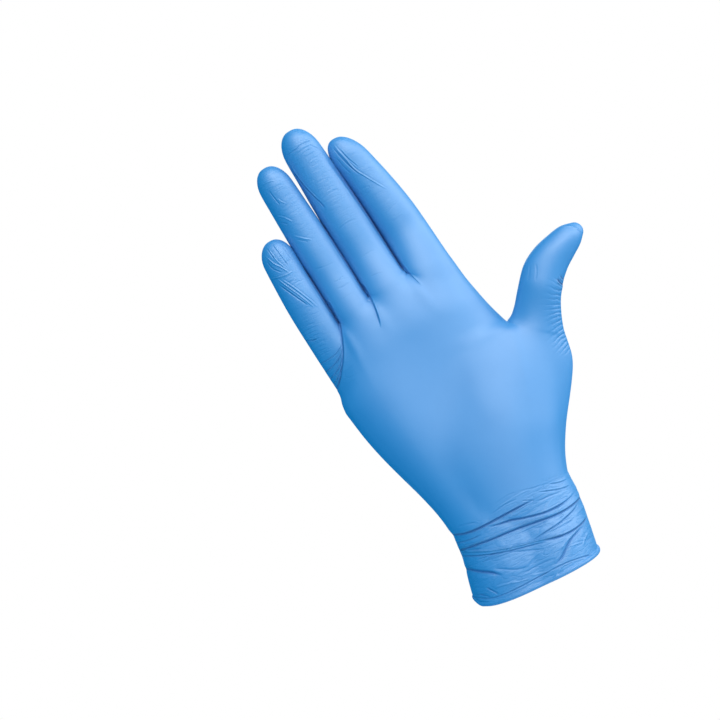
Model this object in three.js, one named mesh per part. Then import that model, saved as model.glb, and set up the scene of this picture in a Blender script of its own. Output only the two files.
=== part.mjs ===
// Nitrile exam glove in the form it takes on a hand: one dipped film with a rolled bead at the mouth.
// Frame: origin at the middle of the wrist, +Z to the fingertips, +X to the thumb, -Y out of the palm.
// Lengths are in millimetres.

import * as THREE from "three";

// The film, and the bead that its edge is rolled into.
const filmWall = 1.1;
const beadRadius = 1.15;
const beadSteps = 5;

// The cuff below the wrist, with its right end at the thumb side.
const cuffLength = 40.5;
const mouthWidth = 63.5;
const mouthDepth = 47;
const wristWidth = 62.5;
const wristDepth = 41;

// The hand above the wrist. The webs of the fingers are one palm length up.
const palmLength = 117;
const palmWidth = 87.5;
const palmDepth = 32;
const knuckleWidth = 79;
const thumbRootWidth = 28.5;
const thenarDepth = 37;

// The thumb, from the middle of its root to its tip.
const thumbLength = 53.7;
const thumbWidth = 21;
const thumbDepth = 19;

// The fingers, each from the webs' height to its tip. Widths and depths are the middle finger's.
const littleLength = 46.5;
const ringLength = 77.3;
const middleLength = 86.5;
const indexLength = 73;
const fingerWidth = 20.2;
const fingerDepth = 18;

// Half the thickness of the film's two sides where a web joins them.
const webHalf = 2.6;

// Each finger stands between two webs. width and depth are shares of the middle finger's, root and tip are
// across the hand as shares of the knuckle width, and bow, back and curl are shares of the length. flare is
// how much wider it is at the root, taper is how much slimmer it is near the tip, and the rootRings nearest
// the palm carry the palm's shape into it.
const littleDrop = 0.034 * palmLength;
const fingers = [
  {
    name: "little",
    length: littleLength + littleDrop,
    width: 0.812,
    depth: 0.856,
    root: -0.4518,
    tip: -0.453,
    drop: littleDrop,
    bow: -0.016,
    back: -0.06,
    curl: 0.03,
    flare: 0.075,
    taper: 0.08,
    rootRings: 7,
  },
  {
    name: "ring",
    length: ringLength,
    width: 0.886,
    depth: 0.944,
    root: -0.2285,
    tip: -0.2595,
    drop: 0,
    bow: -0.001,
    back: -0.01,
    curl: 0.06,
    flare: 0,
    taper: 0.13,
    rootRings: 3,
  },
  {
    name: "middle",
    length: middleLength,
    width: 1,
    depth: 1,
    root: 0.015,
    tip: -0.0185,
    drop: 0,
    bow: 0,
    back: 0.02,
    curl: 0.07,
    flare: 0,
    taper: 0.14,
    rootRings: 3,
  },
  {
    name: "index",
    length: indexLength,
    width: 1.005,
    depth: 0.978,
    root: 0.282,
    tip: 0.186,
    drop: 0,
    bow: 0.029,
    back: 0.055,
    curl: 0.075,
    flare: 0.06,
    taper: 0.22,
    rootRings: 3,
  },
];

// Columns of the net: five spans across each finger and the thumb, on the palm side and on the back.
const spans = 5;
const palmSpans = spans * fingers.length;
const handSpans = palmSpans + spans;

// Rings of the net between its named places.
const cuffRings = 17;
const heelRings = 11;
const palmRings = 6;
const fingerRings = 8;
const thumbRings = 17;
const thumbRootRings = 4;
const rootPitch = 0.065 * fingerWidth;
const rootReach = 0.95 * fingerWidth;

// Sections of the hand from the mouth to the fork of the thumb. Left is the little finger's side.
// fork is the column where the thumb parts from the palm. palmEnd and thumbStart are shares of the
// section's length, where the form of the palm ends and the form of the thumb's base begins. sag is how far
// the palm side hangs lower than the edges.
const handSections = [
  {
    leftX: -0.6 * mouthWidth,
    leftZ: -0.715 * cuffLength,
    rightX: 0.386 * mouthWidth,
    rightZ: -0.93 * cuffLength,
    forkX: 0.2 * mouthWidth,
    forkZ: -0.885 * cuffLength,
    sag: 0.12 * cuffLength,
    front: 0.49 * mouthDepth,
    back: 0.51 * mouthDepth,
    palmEnd: 1,
    thumbStart: 0.5,
    thumbFront: 0.3 * mouthDepth,
    thumbBack: 0.3 * mouthDepth,
  },
  {
    leftX: -0.563 * mouthWidth,
    leftZ: -0.5 * cuffLength,
    rightX: 0.432 * mouthWidth,
    rightZ: -0.6 * cuffLength,
    forkX: 0.24 * mouthWidth,
    forkZ: -0.585 * cuffLength,
    sag: 0.06 * cuffLength,
    front: 0.48 * mouthDepth,
    back: 0.49 * mouthDepth,
    palmEnd: 1,
    thumbStart: 0.5,
    thumbFront: 0.3 * mouthDepth,
    thumbBack: 0.3 * mouthDepth,
  },
  {
    leftX: -0.53 * wristWidth,
    leftZ: -0.27 * cuffLength,
    rightX: 0.476 * wristWidth,
    rightZ: -0.28 * cuffLength,
    forkX: 0.27 * wristWidth,
    forkZ: -0.28 * cuffLength,
    sag: 0.02 * cuffLength,
    front: 0.49 * wristDepth,
    back: 0.52 * wristDepth,
    palmEnd: 1,
    thumbStart: 0.5,
    thumbFront: 0.3 * wristDepth,
    thumbBack: 0.3 * wristDepth,
  },
  {
    leftX: -0.509 * wristWidth,
    leftZ: 0,
    rightX: 0.491 * wristWidth,
    rightZ: 0,
    forkX: 0.29 * wristWidth,
    forkZ: 0,
    sag: 0,
    front: 0.48 * wristDepth,
    back: 0.52 * wristDepth,
    palmEnd: 1,
    thumbStart: 0.3,
    thumbFront: 0.32 * wristDepth,
    thumbBack: 0.3 * wristDepth,
  },
  {
    leftX: -0.375 * palmWidth,
    leftZ: 0.094 * palmLength,
    rightX: 0.4 * palmWidth,
    rightZ: 0.077 * palmLength,
    forkX: 0.255 * palmWidth,
    forkZ: 0.1 * palmLength,
    sag: 0,
    front: 0.56 * palmDepth,
    back: 0.6 * palmDepth,
    palmEnd: 0.99,
    thumbStart: 0.24,
    thumbFront: 0.42 * thenarDepth,
    thumbBack: 0.32 * thenarDepth,
  },
  {
    leftX: -0.4 * palmWidth,
    leftZ: 0.188 * palmLength,
    rightX: 0.469 * palmWidth,
    rightZ: 0.158 * palmLength,
    forkX: 0.31 * palmWidth,
    forkZ: 0.205 * palmLength,
    sag: 0,
    front: 0.52 * palmDepth,
    back: 0.56 * palmDepth,
    palmEnd: 0.975,
    thumbStart: 0.22,
    thumbFront: 0.47 * thenarDepth,
    thumbBack: 0.34 * thenarDepth,
  },
  {
    leftX: -0.436 * palmWidth,
    leftZ: 0.29 * palmLength,
    rightX: 0.549 * palmWidth,
    rightZ: 0.235 * palmLength,
    forkX: 0.362 * palmWidth,
    forkZ: 0.315 * palmLength,
    sag: 0,
    front: 0.5 * palmDepth,
    back: 0.53 * palmDepth,
    palmEnd: 0.95,
    thumbStart: 0.24,
    thumbFront: 0.48 * thenarDepth,
    thumbBack: 0.34 * thenarDepth,
  },
  {
    leftX: -0.473 * palmWidth,
    leftZ: 0.395 * palmLength,
    rightX: 0.623 * palmWidth,
    rightZ: 0.306 * palmLength,
    forkX: 0.41 * palmWidth,
    forkZ: 0.42 * palmLength,
    sag: 0,
    front: 0.49 * palmDepth,
    back: 0.515 * palmDepth,
    palmEnd: 0.915,
    thumbStart: 0.32,
    thumbFront: 0.46 * thenarDepth,
    thumbBack: 0.33 * thenarDepth,
  },
  {
    leftX: -0.505 * palmWidth,
    leftZ: 0.513 * palmLength,
    rightX: 0.68 * palmWidth,
    rightZ: 0.376 * palmLength,
    forkX: 0.447 * palmWidth,
    forkZ: 0.525 * palmLength,
    sag: 0,
    front: 0.485 * palmDepth,
    back: 0.505 * palmDepth,
    palmEnd: 0.855,
    thumbStart: 0.5,
    thumbFront: 0.4 * thenarDepth,
    thumbBack: 0.3 * thenarDepth,
  },
  {
    leftX: -0.526 * palmWidth,
    leftZ: 0.641 * palmLength,
    rightX: 0.474 * palmWidth + 0.713 * thumbRootWidth,
    rightZ: 0.628 * palmLength - 0.719 * thumbRootWidth,
    forkX: 0.474 * palmWidth,
    forkZ: 0.628 * palmLength,
    sag: 0,
    front: 0.475 * palmDepth,
    back: 0.495 * palmDepth,
    palmEnd: 0.76,
    thumbStart: 0.76,
    thumbFront: 0.62 * thumbDepth,
    thumbBack: 0.52 * thumbDepth,
  },
];

// Sections of the palm above the fork, as shares of the palm's and the knuckles' sizes.
const palmSections = [
  {
    left: -0.526 * palmWidth,
    right: 0.474 * palmWidth,
    front: 0.475 * palmDepth,
    back: 0.495 * palmDepth,
  },
  {
    left: -0.576 * knuckleWidth,
    right: 0.49 * knuckleWidth,
    front: 0.465 * palmDepth,
    back: 0.49 * palmDepth,
  },
  {
    left: -0.56 * knuckleWidth,
    right: 0.463 * knuckleWidth,
    front: 0.44 * palmDepth,
    back: 0.46 * palmDepth,
  },
  {
    left: -0.557 * knuckleWidth,
    right: 0.443 * knuckleWidth,
    front: 0.37 * palmDepth,
    back: 0.375 * palmDepth,
  },
];

// Where the fingers' base line crosses the edges and the three webs: share of the palm's width from the
// little finger's edge, and height as a share of the palm length.
const baseLine = [
  { across: 0.02, height: 0.755 },
  { across: 0.215, height: 0.965 },
  { across: 0.445, height: 1 },
  { across: 0.715, height: 1 },
  { across: 0.98, height: 0.9 },
];

// Sections of the thumb from its root. aside and up are shares of its length from the root's middle, and
// turn is how far the section leans from lying level, in degrees.
const thumbSections = [
  { aside: 0, up: 0, turn: 46, wide: 1.357, deep: 1.14, forward: 0.05 },
  { aside: 0.055, up: 0.085, turn: 45, wide: 1.16, deep: 1.08, forward: 0.06 },
  { aside: 0.172, up: 0.264, turn: 47, wide: 1.01, deep: 1.0, forward: 0.08 },
  { aside: 0.298, up: 0.406, turn: 53, wide: 0.97, deep: 0.97, forward: 0.1 },
  { aside: 0.419, up: 0.488, turn: 60, wide: 0.875, deep: 0.94, forward: 0.12 },
  { aside: 0.544, up: 0.538, turn: 66, wide: 0.755, deep: 0.86, forward: 0.15 },
  { aside: 0.67, up: 0.58, turn: 70, wide: 0.6, deep: 0.68, forward: 0.18 },
  { aside: 0.762, up: 0.602, turn: 72, wide: 0.33, deep: 0.36, forward: 0.2 },
];

// Soft forms of the palm side (side -1) and the back (side 1): the heel of the little finger's side, the
// hollow, the pads under the webs, the knuckles. x and rx are shares of the palm width, z and rz of the
// palm length, and height is a share of the palm depth.
const swells = [
  { side: -1, x: -0.33, z: 0.42, rx: 0.17, rz: 0.3, height: 0.11 },
  { side: -1, x: 0.02, z: 0.52, rx: 0.19, rz: 0.24, height: -0.08 },
  { side: -1, x: -0.19, z: 0.87, rx: 0.09, rz: 0.08, height: 0.04 },
  { side: -1, x: 0.02, z: 0.88, rx: 0.1, rz: 0.08, height: 0.045 },
  { side: -1, x: 0.26, z: 0.85, rx: 0.1, rz: 0.09, height: 0.04 },
  { side: 1, x: -0.4, z: 0.78, rx: 0.07, rz: 0.06, height: 0.05 },
  { side: 1, x: -0.2, z: 0.84, rx: 0.08, rz: 0.07, height: 0.06 },
  { side: 1, x: 0.02, z: 0.87, rx: 0.09, rz: 0.07, height: 0.07 },
  { side: 1, x: 0.26, z: 0.84, rx: 0.09, rz: 0.07, height: 0.07 },
];

// Folds of the cuff, each along an arc across one side. fromX and toX are shares of the wrist width, and the
// rest of the cuff length. sag is how far the arc's middle hangs, height is out of the film and reach is
// half the fold's width.
const cuffFolds = [
  { side: -1, fromX: -0.55, fromZ: 0.01, toX: 0.16, toZ: -0.09, sag: 0.03, height: -0.0519, reach: 0.042 },
  { side: -1, fromX: -0.55, fromZ: -0.06, toX: 0.1, toZ: -0.165, sag: 0.01, height: 0.0222, reach: 0.0469 },
  { side: -1, fromX: -0.2, fromZ: -0.1, toX: 0.44, toZ: -0.285, sag: 0.02, height: -0.037, reach: 0.0395 },
  { side: -1, fromX: -0.52, fromZ: -0.14, toX: 0.4, toZ: -0.33, sag: 0.03, height: 0.0296, reach: 0.042 },
  { side: -1, fromX: 0, fromZ: -0.42, toX: 0.5, toZ: -0.34, sag: 0.02, height: -0.037, reach: 0.037 },
  { side: -1, fromX: -0.53, fromZ: -0.2, toX: 0.4, toZ: -0.62, sag: 0, height: 0.0321, reach: 0.0469 },
  { side: -1, fromX: -0.1, fromZ: -0.5, toX: 0.38, toZ: -0.655, sag: 0.02, height: -0.0272, reach: 0.0395 },
  { side: -1, fromX: -0.54, fromZ: -0.4, toX: -0.32, toZ: -0.65, sag: 0, height: -0.0346, reach: 0.0444 },
  { side: -1, fromX: 0.05, fromZ: -0.84, toX: 0.4, toZ: -0.64, sag: 0.03, height: -0.0321, reach: 0.0444 },
  { side: 1, fromX: -0.5, fromZ: 0.0, toX: 0.3, toZ: -0.14, sag: 0.03, height: -0.0444, reach: 0.0444 },
  { side: 1, fromX: -0.1, fromZ: -0.02, toX: 0.5, toZ: -0.22, sag: 0.02, height: 0.0296, reach: 0.0444 },
  { side: 1, fromX: -0.52, fromZ: -0.18, toX: 0.35, toZ: -0.36, sag: 0.04, height: 0.0321, reach: 0.0444 },
  { side: 1, fromX: -0.3, fromZ: -0.3, toX: 0.48, toZ: -0.44, sag: 0.02, height: -0.037, reach: 0.0395 },
  { side: 1, fromX: -0.52, fromZ: -0.38, toX: 0.2, toZ: -0.6, sag: 0.02, height: -0.0296, reach: 0.042 },
  { side: 1, fromX: -0.1, fromZ: -0.76, toX: 0.4, toZ: -0.58, sag: 0.03, height: 0.0296, reach: 0.0444 },
];

// Loose ridges of film on the palm side of the fingers: ends as shares of the finger's half width and of
// its length, and height and reach as shares of its width.
const fingerFolds = [
  { finger: "little", fromX: -0.75, fromT: 0.62, toX: 0.35, toT: 0.25, height: 0.08, reach: 0.08 },
  { finger: "little", fromX: -0.5, fromT: 0.9, toX: 0.1, toT: 0.64, height: 0.06, reach: 0.08 },
  { finger: "middle", fromX: -0.85, fromT: 0.88, toX: -0.5, toT: 0.54, height: 0.05, reach: 0.07 },
  { finger: "index", fromX: -0.35, fromT: 0.96, toX: 0.3, toT: 0.55, height: 0.05, reach: 0.07 },
];

// Gathers on the outer side of the thumb, each a ripple round half of its section, between two shares of its
// length. The height is a share of the thumb's width.
const gather = { height: 0.0215, from: 0.02, to: 0.62 };

// A crease parts the little finger from the palm, and small folds lie above it on the outer side. Both are
// shares of the finger's width, and across is where the folds end, as a share of its half width.
const littleGather = { crease: 0.08, height: 0.048, across: 0.35 };

// Catmull-Rom sample of a table of rows, column by column, at a share from 0 to 1 of its length.
function sample(rows, share) {
  const place = THREE.MathUtils.clamp(share, 0, 1) * (rows.length - 1);
  const row = Math.min(Math.floor(place), rows.length - 2);
  const t = place - row;
  const before = rows[Math.max(row - 1, 0)];
  const after = rows[Math.min(row + 2, rows.length - 1)];
  const result = {};
  for (const key of Object.keys(rows[0])) {
    const [a, b, c, d] = [before[key], rows[row][key], rows[row + 1][key], after[key]];
    const bend = 2 * a - 5 * b + 4 * c - d;
    const twist = 3 * (b - c) + d - a;
    result[key] = b + 0.5 * t * (c - a + t * (bend + t * twist));
  }
  return result;
}

const bump = (distance) => Math.exp(-distance * distance);
const mix = THREE.MathUtils.lerp;
const fork = handSections[handSections.length - 1];

// Height of half a closed form at a place from 0 to 1 across it: a circle at power 2, squarer above.
function arch(place, power) {
  const off = Math.abs(2 * place - 1);
  return off >= 1 ? 0 : (1 - off ** power) ** (1 / power);
}

// Two swelling forms joined into one, never thinner than a web.
function joined(palm, thumb = 0) {
  const power = 2.6;
  const both = (palm ** power + thumb ** power) ** (1 / power);
  return (both ** 4 + webHalf ** 4) ** 0.25;
}

// Share of the palm's width at which a column of the net lies, from the little finger's edge.
function columnShare(column) {
  const finger = Math.min(Math.floor(column / spans), fingers.length - 1);
  const t = column / spans - finger;
  return mix(baseLine[finger].across, baseLine[finger + 1].across, t);
}

// Height of the fingers' base line at a column. The little finger's runs in a curve to the palm's edge.
function baseHeight(column) {
  const finger = Math.min(Math.floor(column / spans), fingers.length - 1);
  const t = column / spans - finger;
  const shape = finger === 0 ? t ** 1.25 : t;
  const dip = finger === 0 ? 0 : 0.03 * Math.sin(Math.PI * t);
  return palmLength * (mix(baseLine[finger].height, baseLine[finger + 1].height, shape) - dip);
}

// Soft forms at a place on the palm side or the back.
function swell(x, z, side) {
  return swells
    .filter((row) => row.side === side)
    .reduce((sum, row) => {
      const dx = (x / palmWidth - row.x) / row.rx;
      const dz = (z / palmLength - row.z) / row.rz;
      return sum + row.height * palmDepth * bump(Math.hypot(dx, dz));
    }, 0);
}

// The net: points of the film's outer side, and quads with their corners anticlockwise from outside.
const points = [];
const quads = [];
const folds = []; // how far each point stands out of the smooth film

function addPoint(x, y, z, fold = 0) {
  points.push(new THREE.Vector3(x, y, z));
  folds.push(fold);
  return points.length - 1;
}

function addBand(lower, upper) {
  lower.forEach((corner, i) => {
    const next = (i + 1) % lower.length;
    quads.push([corner, lower[next], upper[next], upper[i]]);
  });
}

// A closed ring is the palm side from the left, the right edge, the back from the right, the left edge.
function ringOf(front, right, back, left) {
  return [...front, right, ...back.slice().reverse(), left];
}

// How far a fold of the cuff lifts the film at a place on one side.
function cuffFold(x, z, side) {
  return cuffFolds
    .filter((row) => row.side === side)
    .reduce((sum, row) => {
      const [x0, x1] = [row.fromX * wristWidth, row.toX * wristWidth];
      const along = (x - x0) / (x1 - x0);
      const line =
        cuffLength * (mix(row.fromZ, row.toZ, along) - row.sag * 4 * along * (1 - along));
      const slope = ((row.toZ - row.fromZ) * cuffLength) / (x1 - x0);
      const reach = row.reach * cuffLength;
      const off = (z - line) / Math.hypot(1, slope) / reach;
      const past = Math.max(0, -along, along - 1) * Math.abs(x1 - x0);
      return sum + row.height * cuffLength * bump(off) * bump(past / (2 * reach));
    }, 0);
}

// One ring of the hand between the mouth and the fork, at a share of the table of sections.
function handRing(share) {
  const s = sample(handSections, share);
  const palmRun = Math.hypot(s.forkX - s.leftX, s.forkZ - s.leftZ);
  const thumbRun = Math.hypot(s.rightX - s.forkX, s.rightZ - s.forkZ);
  const whole = palmRun + thumbRun;
  const front = [];
  const back = [];
  const edgeShare = baseLine[fingers.length].across;
  for (let column = 0; column <= handSpans; column++) {
    const onPalm = column <= palmSpans;
    const t = onPalm
      ? columnShare(column) / edgeShare
      : ((column - palmSpans) / spans) * 0.97;
    const x = onPalm ? mix(s.leftX, s.forkX, t) : mix(s.forkX, s.rightX, t);
    const z = onPalm ? mix(s.leftZ, s.forkZ, t) : mix(s.forkZ, s.rightZ, t);
    const place = (onPalm ? t * palmRun : palmRun + t * thumbRun) / whole;
    const palmArch = arch(place / s.palmEnd, 2.5);
    const thumbArch = arch((place - s.thumbStart) / (1 - s.thumbStart), 2);
    for (const side of [-1, 1]) {
      const palm = (side < 0 ? s.front : s.back) * palmArch;
      const thumb = (side < 0 ? s.thumbFront : s.thumbBack) * thumbArch;
      const deep = joined(palm, thumb) + swell(x, z, side) * palmArch;
      const low = z - (side < 0 ? s.sag * arch(place, 3) * (1.25 - 0.7 * place) : 0);
      const point = addPoint(x, side * deep, low, cuffFold(x, low, side));
      (side < 0 ? front : back).push(point);
    }
  }
  const right = addPoint(s.rightX, 0, s.rightZ);
  const left = addPoint(s.leftX, 0, s.leftZ);
  return { front, back, right, left };
}

// One ring of the palm between the fork and the fingers' base line.
function palmRing(share) {
  const s = sample(palmSections, share);
  const front = [];
  const back = [];
  for (let column = 0; column <= palmSpans; column++) {
    const place = columnShare(column);
    const x = mix(s.left, s.right, place);
    const forkZ = mix(fork.leftZ, fork.forkZ, place);
    const z = mix(forkZ, baseHeight(column), share);
    // The film dips between the fingers, ever deeper towards the webs.
    const web = column % spans === 0 && column > 0 && column < palmSpans ? 1 : 0;
    const valley = 1 - 0.42 * web * share ** 6;
    for (const side of [-1, 1]) {
      const palm = (side < 0 ? s.front : s.back) * arch(place, 2.5);
      const deep = (joined(palm) + swell(x, z, side) * arch(place, 2.5)) * valley;
      // The palm's last ring sinks in beside the little finger.
      const onLittle = side < 0 && share === 1 && column < spans;
      const crease = onLittle ? littleGather.crease * fingers[0].width * fingerWidth : 0;
      (side < 0 ? front : back).push(addPoint(x, side * deep, z, -crease));
    }
  }
  const edgeZ = (column, forkZ) => mix(forkZ, baseHeight(column), share);
  const right = addPoint(s.right, 0, edgeZ(palmSpans, fork.forkZ));
  const left = addPoint(s.left, 0, edgeZ(0, fork.leftZ));
  return { front, back, right, left };
}

// Angles of a finger's ring: six points on the palm side, an edge, six on the back, an edge.
const ringPoints = 2 * (spans + 2);
const ringAngle = (i) => -Math.PI / 2 + ((i - spans / 2) * 2 * Math.PI) / ringPoints;

// A section narrows to a round end over its last stretch.
function roundEnd(share, start) {
  const t = Math.max(0, (share - start) / (1 - start));
  return (1 - t ** 2.2) ** (1 / 2.2);
}

// Lift of the loose ridges on the palm side of a finger, at a place across and along it.
function fingerFold(finger, across, share) {
  return fingerFolds
    .filter((row) => row.finger === finger.name)
    .reduce((sum, row) => {
      const width = finger.width * fingerWidth;
      const half = width / 2;
      const end = new THREE.Vector2(row.toX * half, row.toT * finger.length);
      const start = new THREE.Vector2(row.fromX * half, row.fromT * finger.length);
      const way = end.sub(start);
      const here = new THREE.Vector2(across * half, share * finger.length).sub(start);
      const along = THREE.MathUtils.clamp(here.dot(way) / way.lengthSq(), 0, 1);
      const off = here.sub(way.multiplyScalar(along)).length() / (row.reach * width);
      return sum + row.height * width * bump(off);
    }, 0);
}

// Closes a finger or thumb with a dome: the last ring is the edge of a small net two quads deep.
function addTip(ring, tip) {
  const front = ring.slice(0, spans + 1);
  const back = ring.slice(spans + 2, 2 * spans + 3).reverse();
  const rightEdge = ring[spans + 1];
  const leftEdge = ring[2 * spans + 3];
  const rise = tip.clone().sub(points[leftEdge].clone().lerp(points[rightEdge], 0.5));
  const middle = [leftEdge];
  for (let i = 1; i < spans; i++) {
    const place = points[front[i]].clone().lerp(points[back[i]], 0.5);
    place.addScaledVector(rise, 1 - ((2 * i) / spans - 1) ** 2);
    middle.push(addPoint(place.x, place.y, place.z));
  }
  middle.push(rightEdge);
  for (let i = 0; i < spans; i++) {
    quads.push([front[i], front[i + 1], middle[i + 1], middle[i]]);
    quads.push([middle[i], middle[i + 1], back[i + 1], back[i]]);
  }
}

// Rings of a finger or thumb, each a base ring's shape fading into the sections that sectionAt gives. The
// base's outline fades over the root rings, and its depth over the whole rootReach.
function addRings(base, steps, sectionAt) {
  const root = sectionAt(0, 0);
  const rest = base.map((corner, i) => points[corner].clone().sub(root[i].point));
  let lower = base;
  for (const { share, carry, way, ring } of steps) {
    const deep = Math.max(carry, 1 - THREE.MathUtils.smoothstep(way, 0, rootReach));
    const upper = sectionAt(share, ring).map(({ point, lift }, i) => {
      const [x, z] = [point.x + rest[i].x * carry, point.z + rest[i].z * carry];
      return addPoint(x, point.y + rest[i].y * deep, z, lift);
    });
    addBand(lower, upper);
    lower = upper;
  }
  return lower;
}

// Rings of a finger from its base ring to its tip.
function addFinger(finger, base) {
  const rootX = finger.root * knuckleWidth;
  const tipX = finger.tip * knuckleWidth;
  const rootZ = palmLength - finger.drop;
  const width = finger.width * fingerWidth;
  const depth = finger.depth * fingerDepth;
  const roundStart = 1 - (1.25 * width) / 2 / finger.length;
  const rootShare = (finger.rootRings * rootPitch) / finger.length;
  const steps = [];
  for (let ring = 1; ring <= finger.rootRings + fingerRings; ring++) {
    const past = (ring - finger.rootRings) / fingerRings;
    // Rings crowd towards the round end.
    const high = 0.99 * Math.sin((past * Math.PI) / 2) ** 0.88;
    const share = past > 0 ? mix(rootShare, 1, high) : (ring * rootPitch) / finger.length;
    const carry = Math.max(0, 1 - ring / (finger.rootRings + 1));
    steps.push({ ring, share, carry, way: share * finger.length });
  }
  const last = addRings(base, steps, (share, ring) => {
    const x = mix(rootX, tipX, share) + finger.bow * finger.length * 4 * share * (1 - share);
    const y = finger.length * (finger.back - finger.curl * share ** 2);
    const z = rootZ + finger.length * share;
    const thin = 1 - finger.taper * THREE.MathUtils.smoothstep(share, 0.35, 1);
    const end = roundEnd(share, roundStart);
    const wide = 1 + finger.flare * (1 - THREE.MathUtils.smoothstep(share, 0, 0.6));
    const half = { x: (width / 2) * wide * thin * end, y: (depth / 2) * thin * end };
    const section = [];
    for (let i = 0; i < ringPoints; i++) {
      const [c, s] = [Math.cos(ringAngle(i)), Math.sin(ringAngle(i))];
      let lift = s < 0 ? fingerFold(finger, c, share) * -s * end : 0;
      if (finger === fingers[0] && ring > 0 && ring <= finger.rootRings && s < 0.5) {
        const outer = THREE.MathUtils.smoothstep(littleGather.across - c, 0, 1) * Math.max(0.3, -s);
        lift += littleGather.height * width * outer * (ring % 2 ? 1 : -1);
      }
      const point = new THREE.Vector3(x + half.x * c, y + half.y * s, z);
      section.push({ point, lift });
    }
    return section;
  });
  const tip = new THREE.Vector3(tipX, finger.length * (finger.back - finger.curl), rootZ + finger.length);
  addTip(last, tip);
}

// Rings of the thumb from its root at the fork to its tip.
function addThumb(base) {
  const rootX = (fork.forkX + fork.rightX) / 2;
  const rootZ = (fork.forkZ + fork.rightZ) / 2;
  const place = (share) => {
    const s = sample(thumbSections, share);
    return {
      ...s,
      x: rootX + s.aside * thumbLength,
      z: rootZ + s.up * thumbLength,
      y: -s.forward * thumbDepth,
    };
  };
  const steps = [];
  for (let ring = 1; ring <= thumbRings; ring++) {
    const share = 0.995 * (ring / thumbRings) ** 0.95;
    const carry = Math.max(0, 1 - ring / (thumbRootRings + 1));
    steps.push({ ring, share, carry, way: share * thumbLength });
  }
  const last = addRings(base, steps, (share, ring) => {
    const s = place(share);
    const turn = THREE.MathUtils.degToRad(s.turn);
    const half = { x: (s.wide * thumbWidth) / 2, y: (s.deep * thumbDepth) / 2 };
    const wave = THREE.MathUtils.clamp((share - gather.from) / (gather.to - gather.from), 0, 1);
    const ripple = gather.height * thumbWidth * (ring % 2 ? 1 : -1) * Math.sin(Math.PI * wave);
    const section = [];
    for (let i = 0; i < ringPoints; i++) {
      const [c, d] = [Math.cos(ringAngle(i)), Math.sin(ringAngle(i))];
      const across = half.x * c;
      const point = new THREE.Vector3(
        s.x + across * Math.cos(turn),
        s.y + half.y * d,
        s.z - across * Math.sin(turn),
      );
      section.push({ point, lift: ripple * Math.max(0, c) ** 1.5 });
    }
    return section;
  });
  const end = place(1);
  const turn = THREE.MathUtils.degToRad(end.turn);
  const reach = 0.034 * thumbLength;
  const tipX = end.x + reach * Math.sin(turn);
  addTip(last, new THREE.Vector3(tipX, end.y, end.z + reach * Math.cos(turn)));
}

// The outer side of the film, from the mouth up. Returns the ring at the mouth.
function addOuterSide() {
  const heelStart = 3 / (handSections.length - 1);
  const shares = [];
  for (let i = 0; i <= cuffRings; i++) shares.push((heelStart * i) / cuffRings);
  for (let i = 1; i <= heelRings; i++) shares.push(mix(heelStart, 1, i / heelRings));
  const rings = shares.map(handRing);
  const loops = rings.map((r) => ringOf(r.front, r.right, r.back, r.left));
  for (let i = 1; i < loops.length; i++) addBand(loops[i - 1], loops[i]);

  // The fork: a short web between the palm side and the back parts the thumb from the palm.
  const last = rings[rings.length - 1];
  const crotch = addPoint(fork.forkX, 0, fork.forkZ + 0.4 * webHalf);
  const thumbFront = last.front.slice(palmSpans);
  const thumbBack = last.back.slice(palmSpans);
  addThumb(ringOf(thumbFront, last.right, thumbBack, crotch));

  let palm = {
    front: last.front.slice(0, palmSpans + 1),
    back: last.back.slice(0, palmSpans + 1),
    right: crotch,
    left: last.left,
  };
  for (let i = 1; i <= palmRings; i++) {
    const next = palmRing(i / palmRings);
    addBand(
      ringOf(palm.front, palm.right, palm.back, palm.left),
      ringOf(next.front, next.right, next.back, next.left),
    );
    palm = next;
  }

  // The webs between the fingers, each one point between the palm side and the back.
  const edges = [palm.left];
  for (let column = spans; column < palmSpans; column += spans) {
    const [a, b] = [points[palm.front[column]], points[palm.back[column]]];
    edges.push(addPoint((a.x + b.x) / 2, (a.y + b.y) / 2, a.z + 0.5 * webHalf));
  }
  edges.push(palm.right);
  fingers.forEach((finger, i) => {
    const columns = [i * spans, (i + 1) * spans + 1];
    const front = palm.front.slice(...columns);
    const back = palm.back.slice(...columns);
    addFinger(finger, ringOf(front, edges[i + 1], back, edges[i]));
  });
  return loops[0];
}

// Outward normals of the net's points before the folds are raised, and how much longer than the wall the
// way to the inner side is at each point, which is most in the webs.
function normalsOf(count) {
  const normals = Array.from({ length: count }, () => new THREE.Vector3());
  const stretch = new Array(count).fill(1);
  const sides = quads.map(([a, b, c, d]) => {
    const one = points[c].clone().sub(points[a]);
    const other = points[d].clone().sub(points[b]);
    return one.cross(other);
  });
  quads.forEach((quad, i) => quad.forEach((corner) => normals[corner].add(sides[i])));
  for (const normal of normals) normal.normalize();
  quads.forEach((quad, i) => {
    const side = sides[i].clone().normalize();
    for (const corner of quad) {
      const lean = Math.max(0.55, side.dot(normals[corner]));
      stretch[corner] = Math.max(stretch[corner], 1 / lean);
    }
  });
  return { normals, stretch };
}

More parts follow.
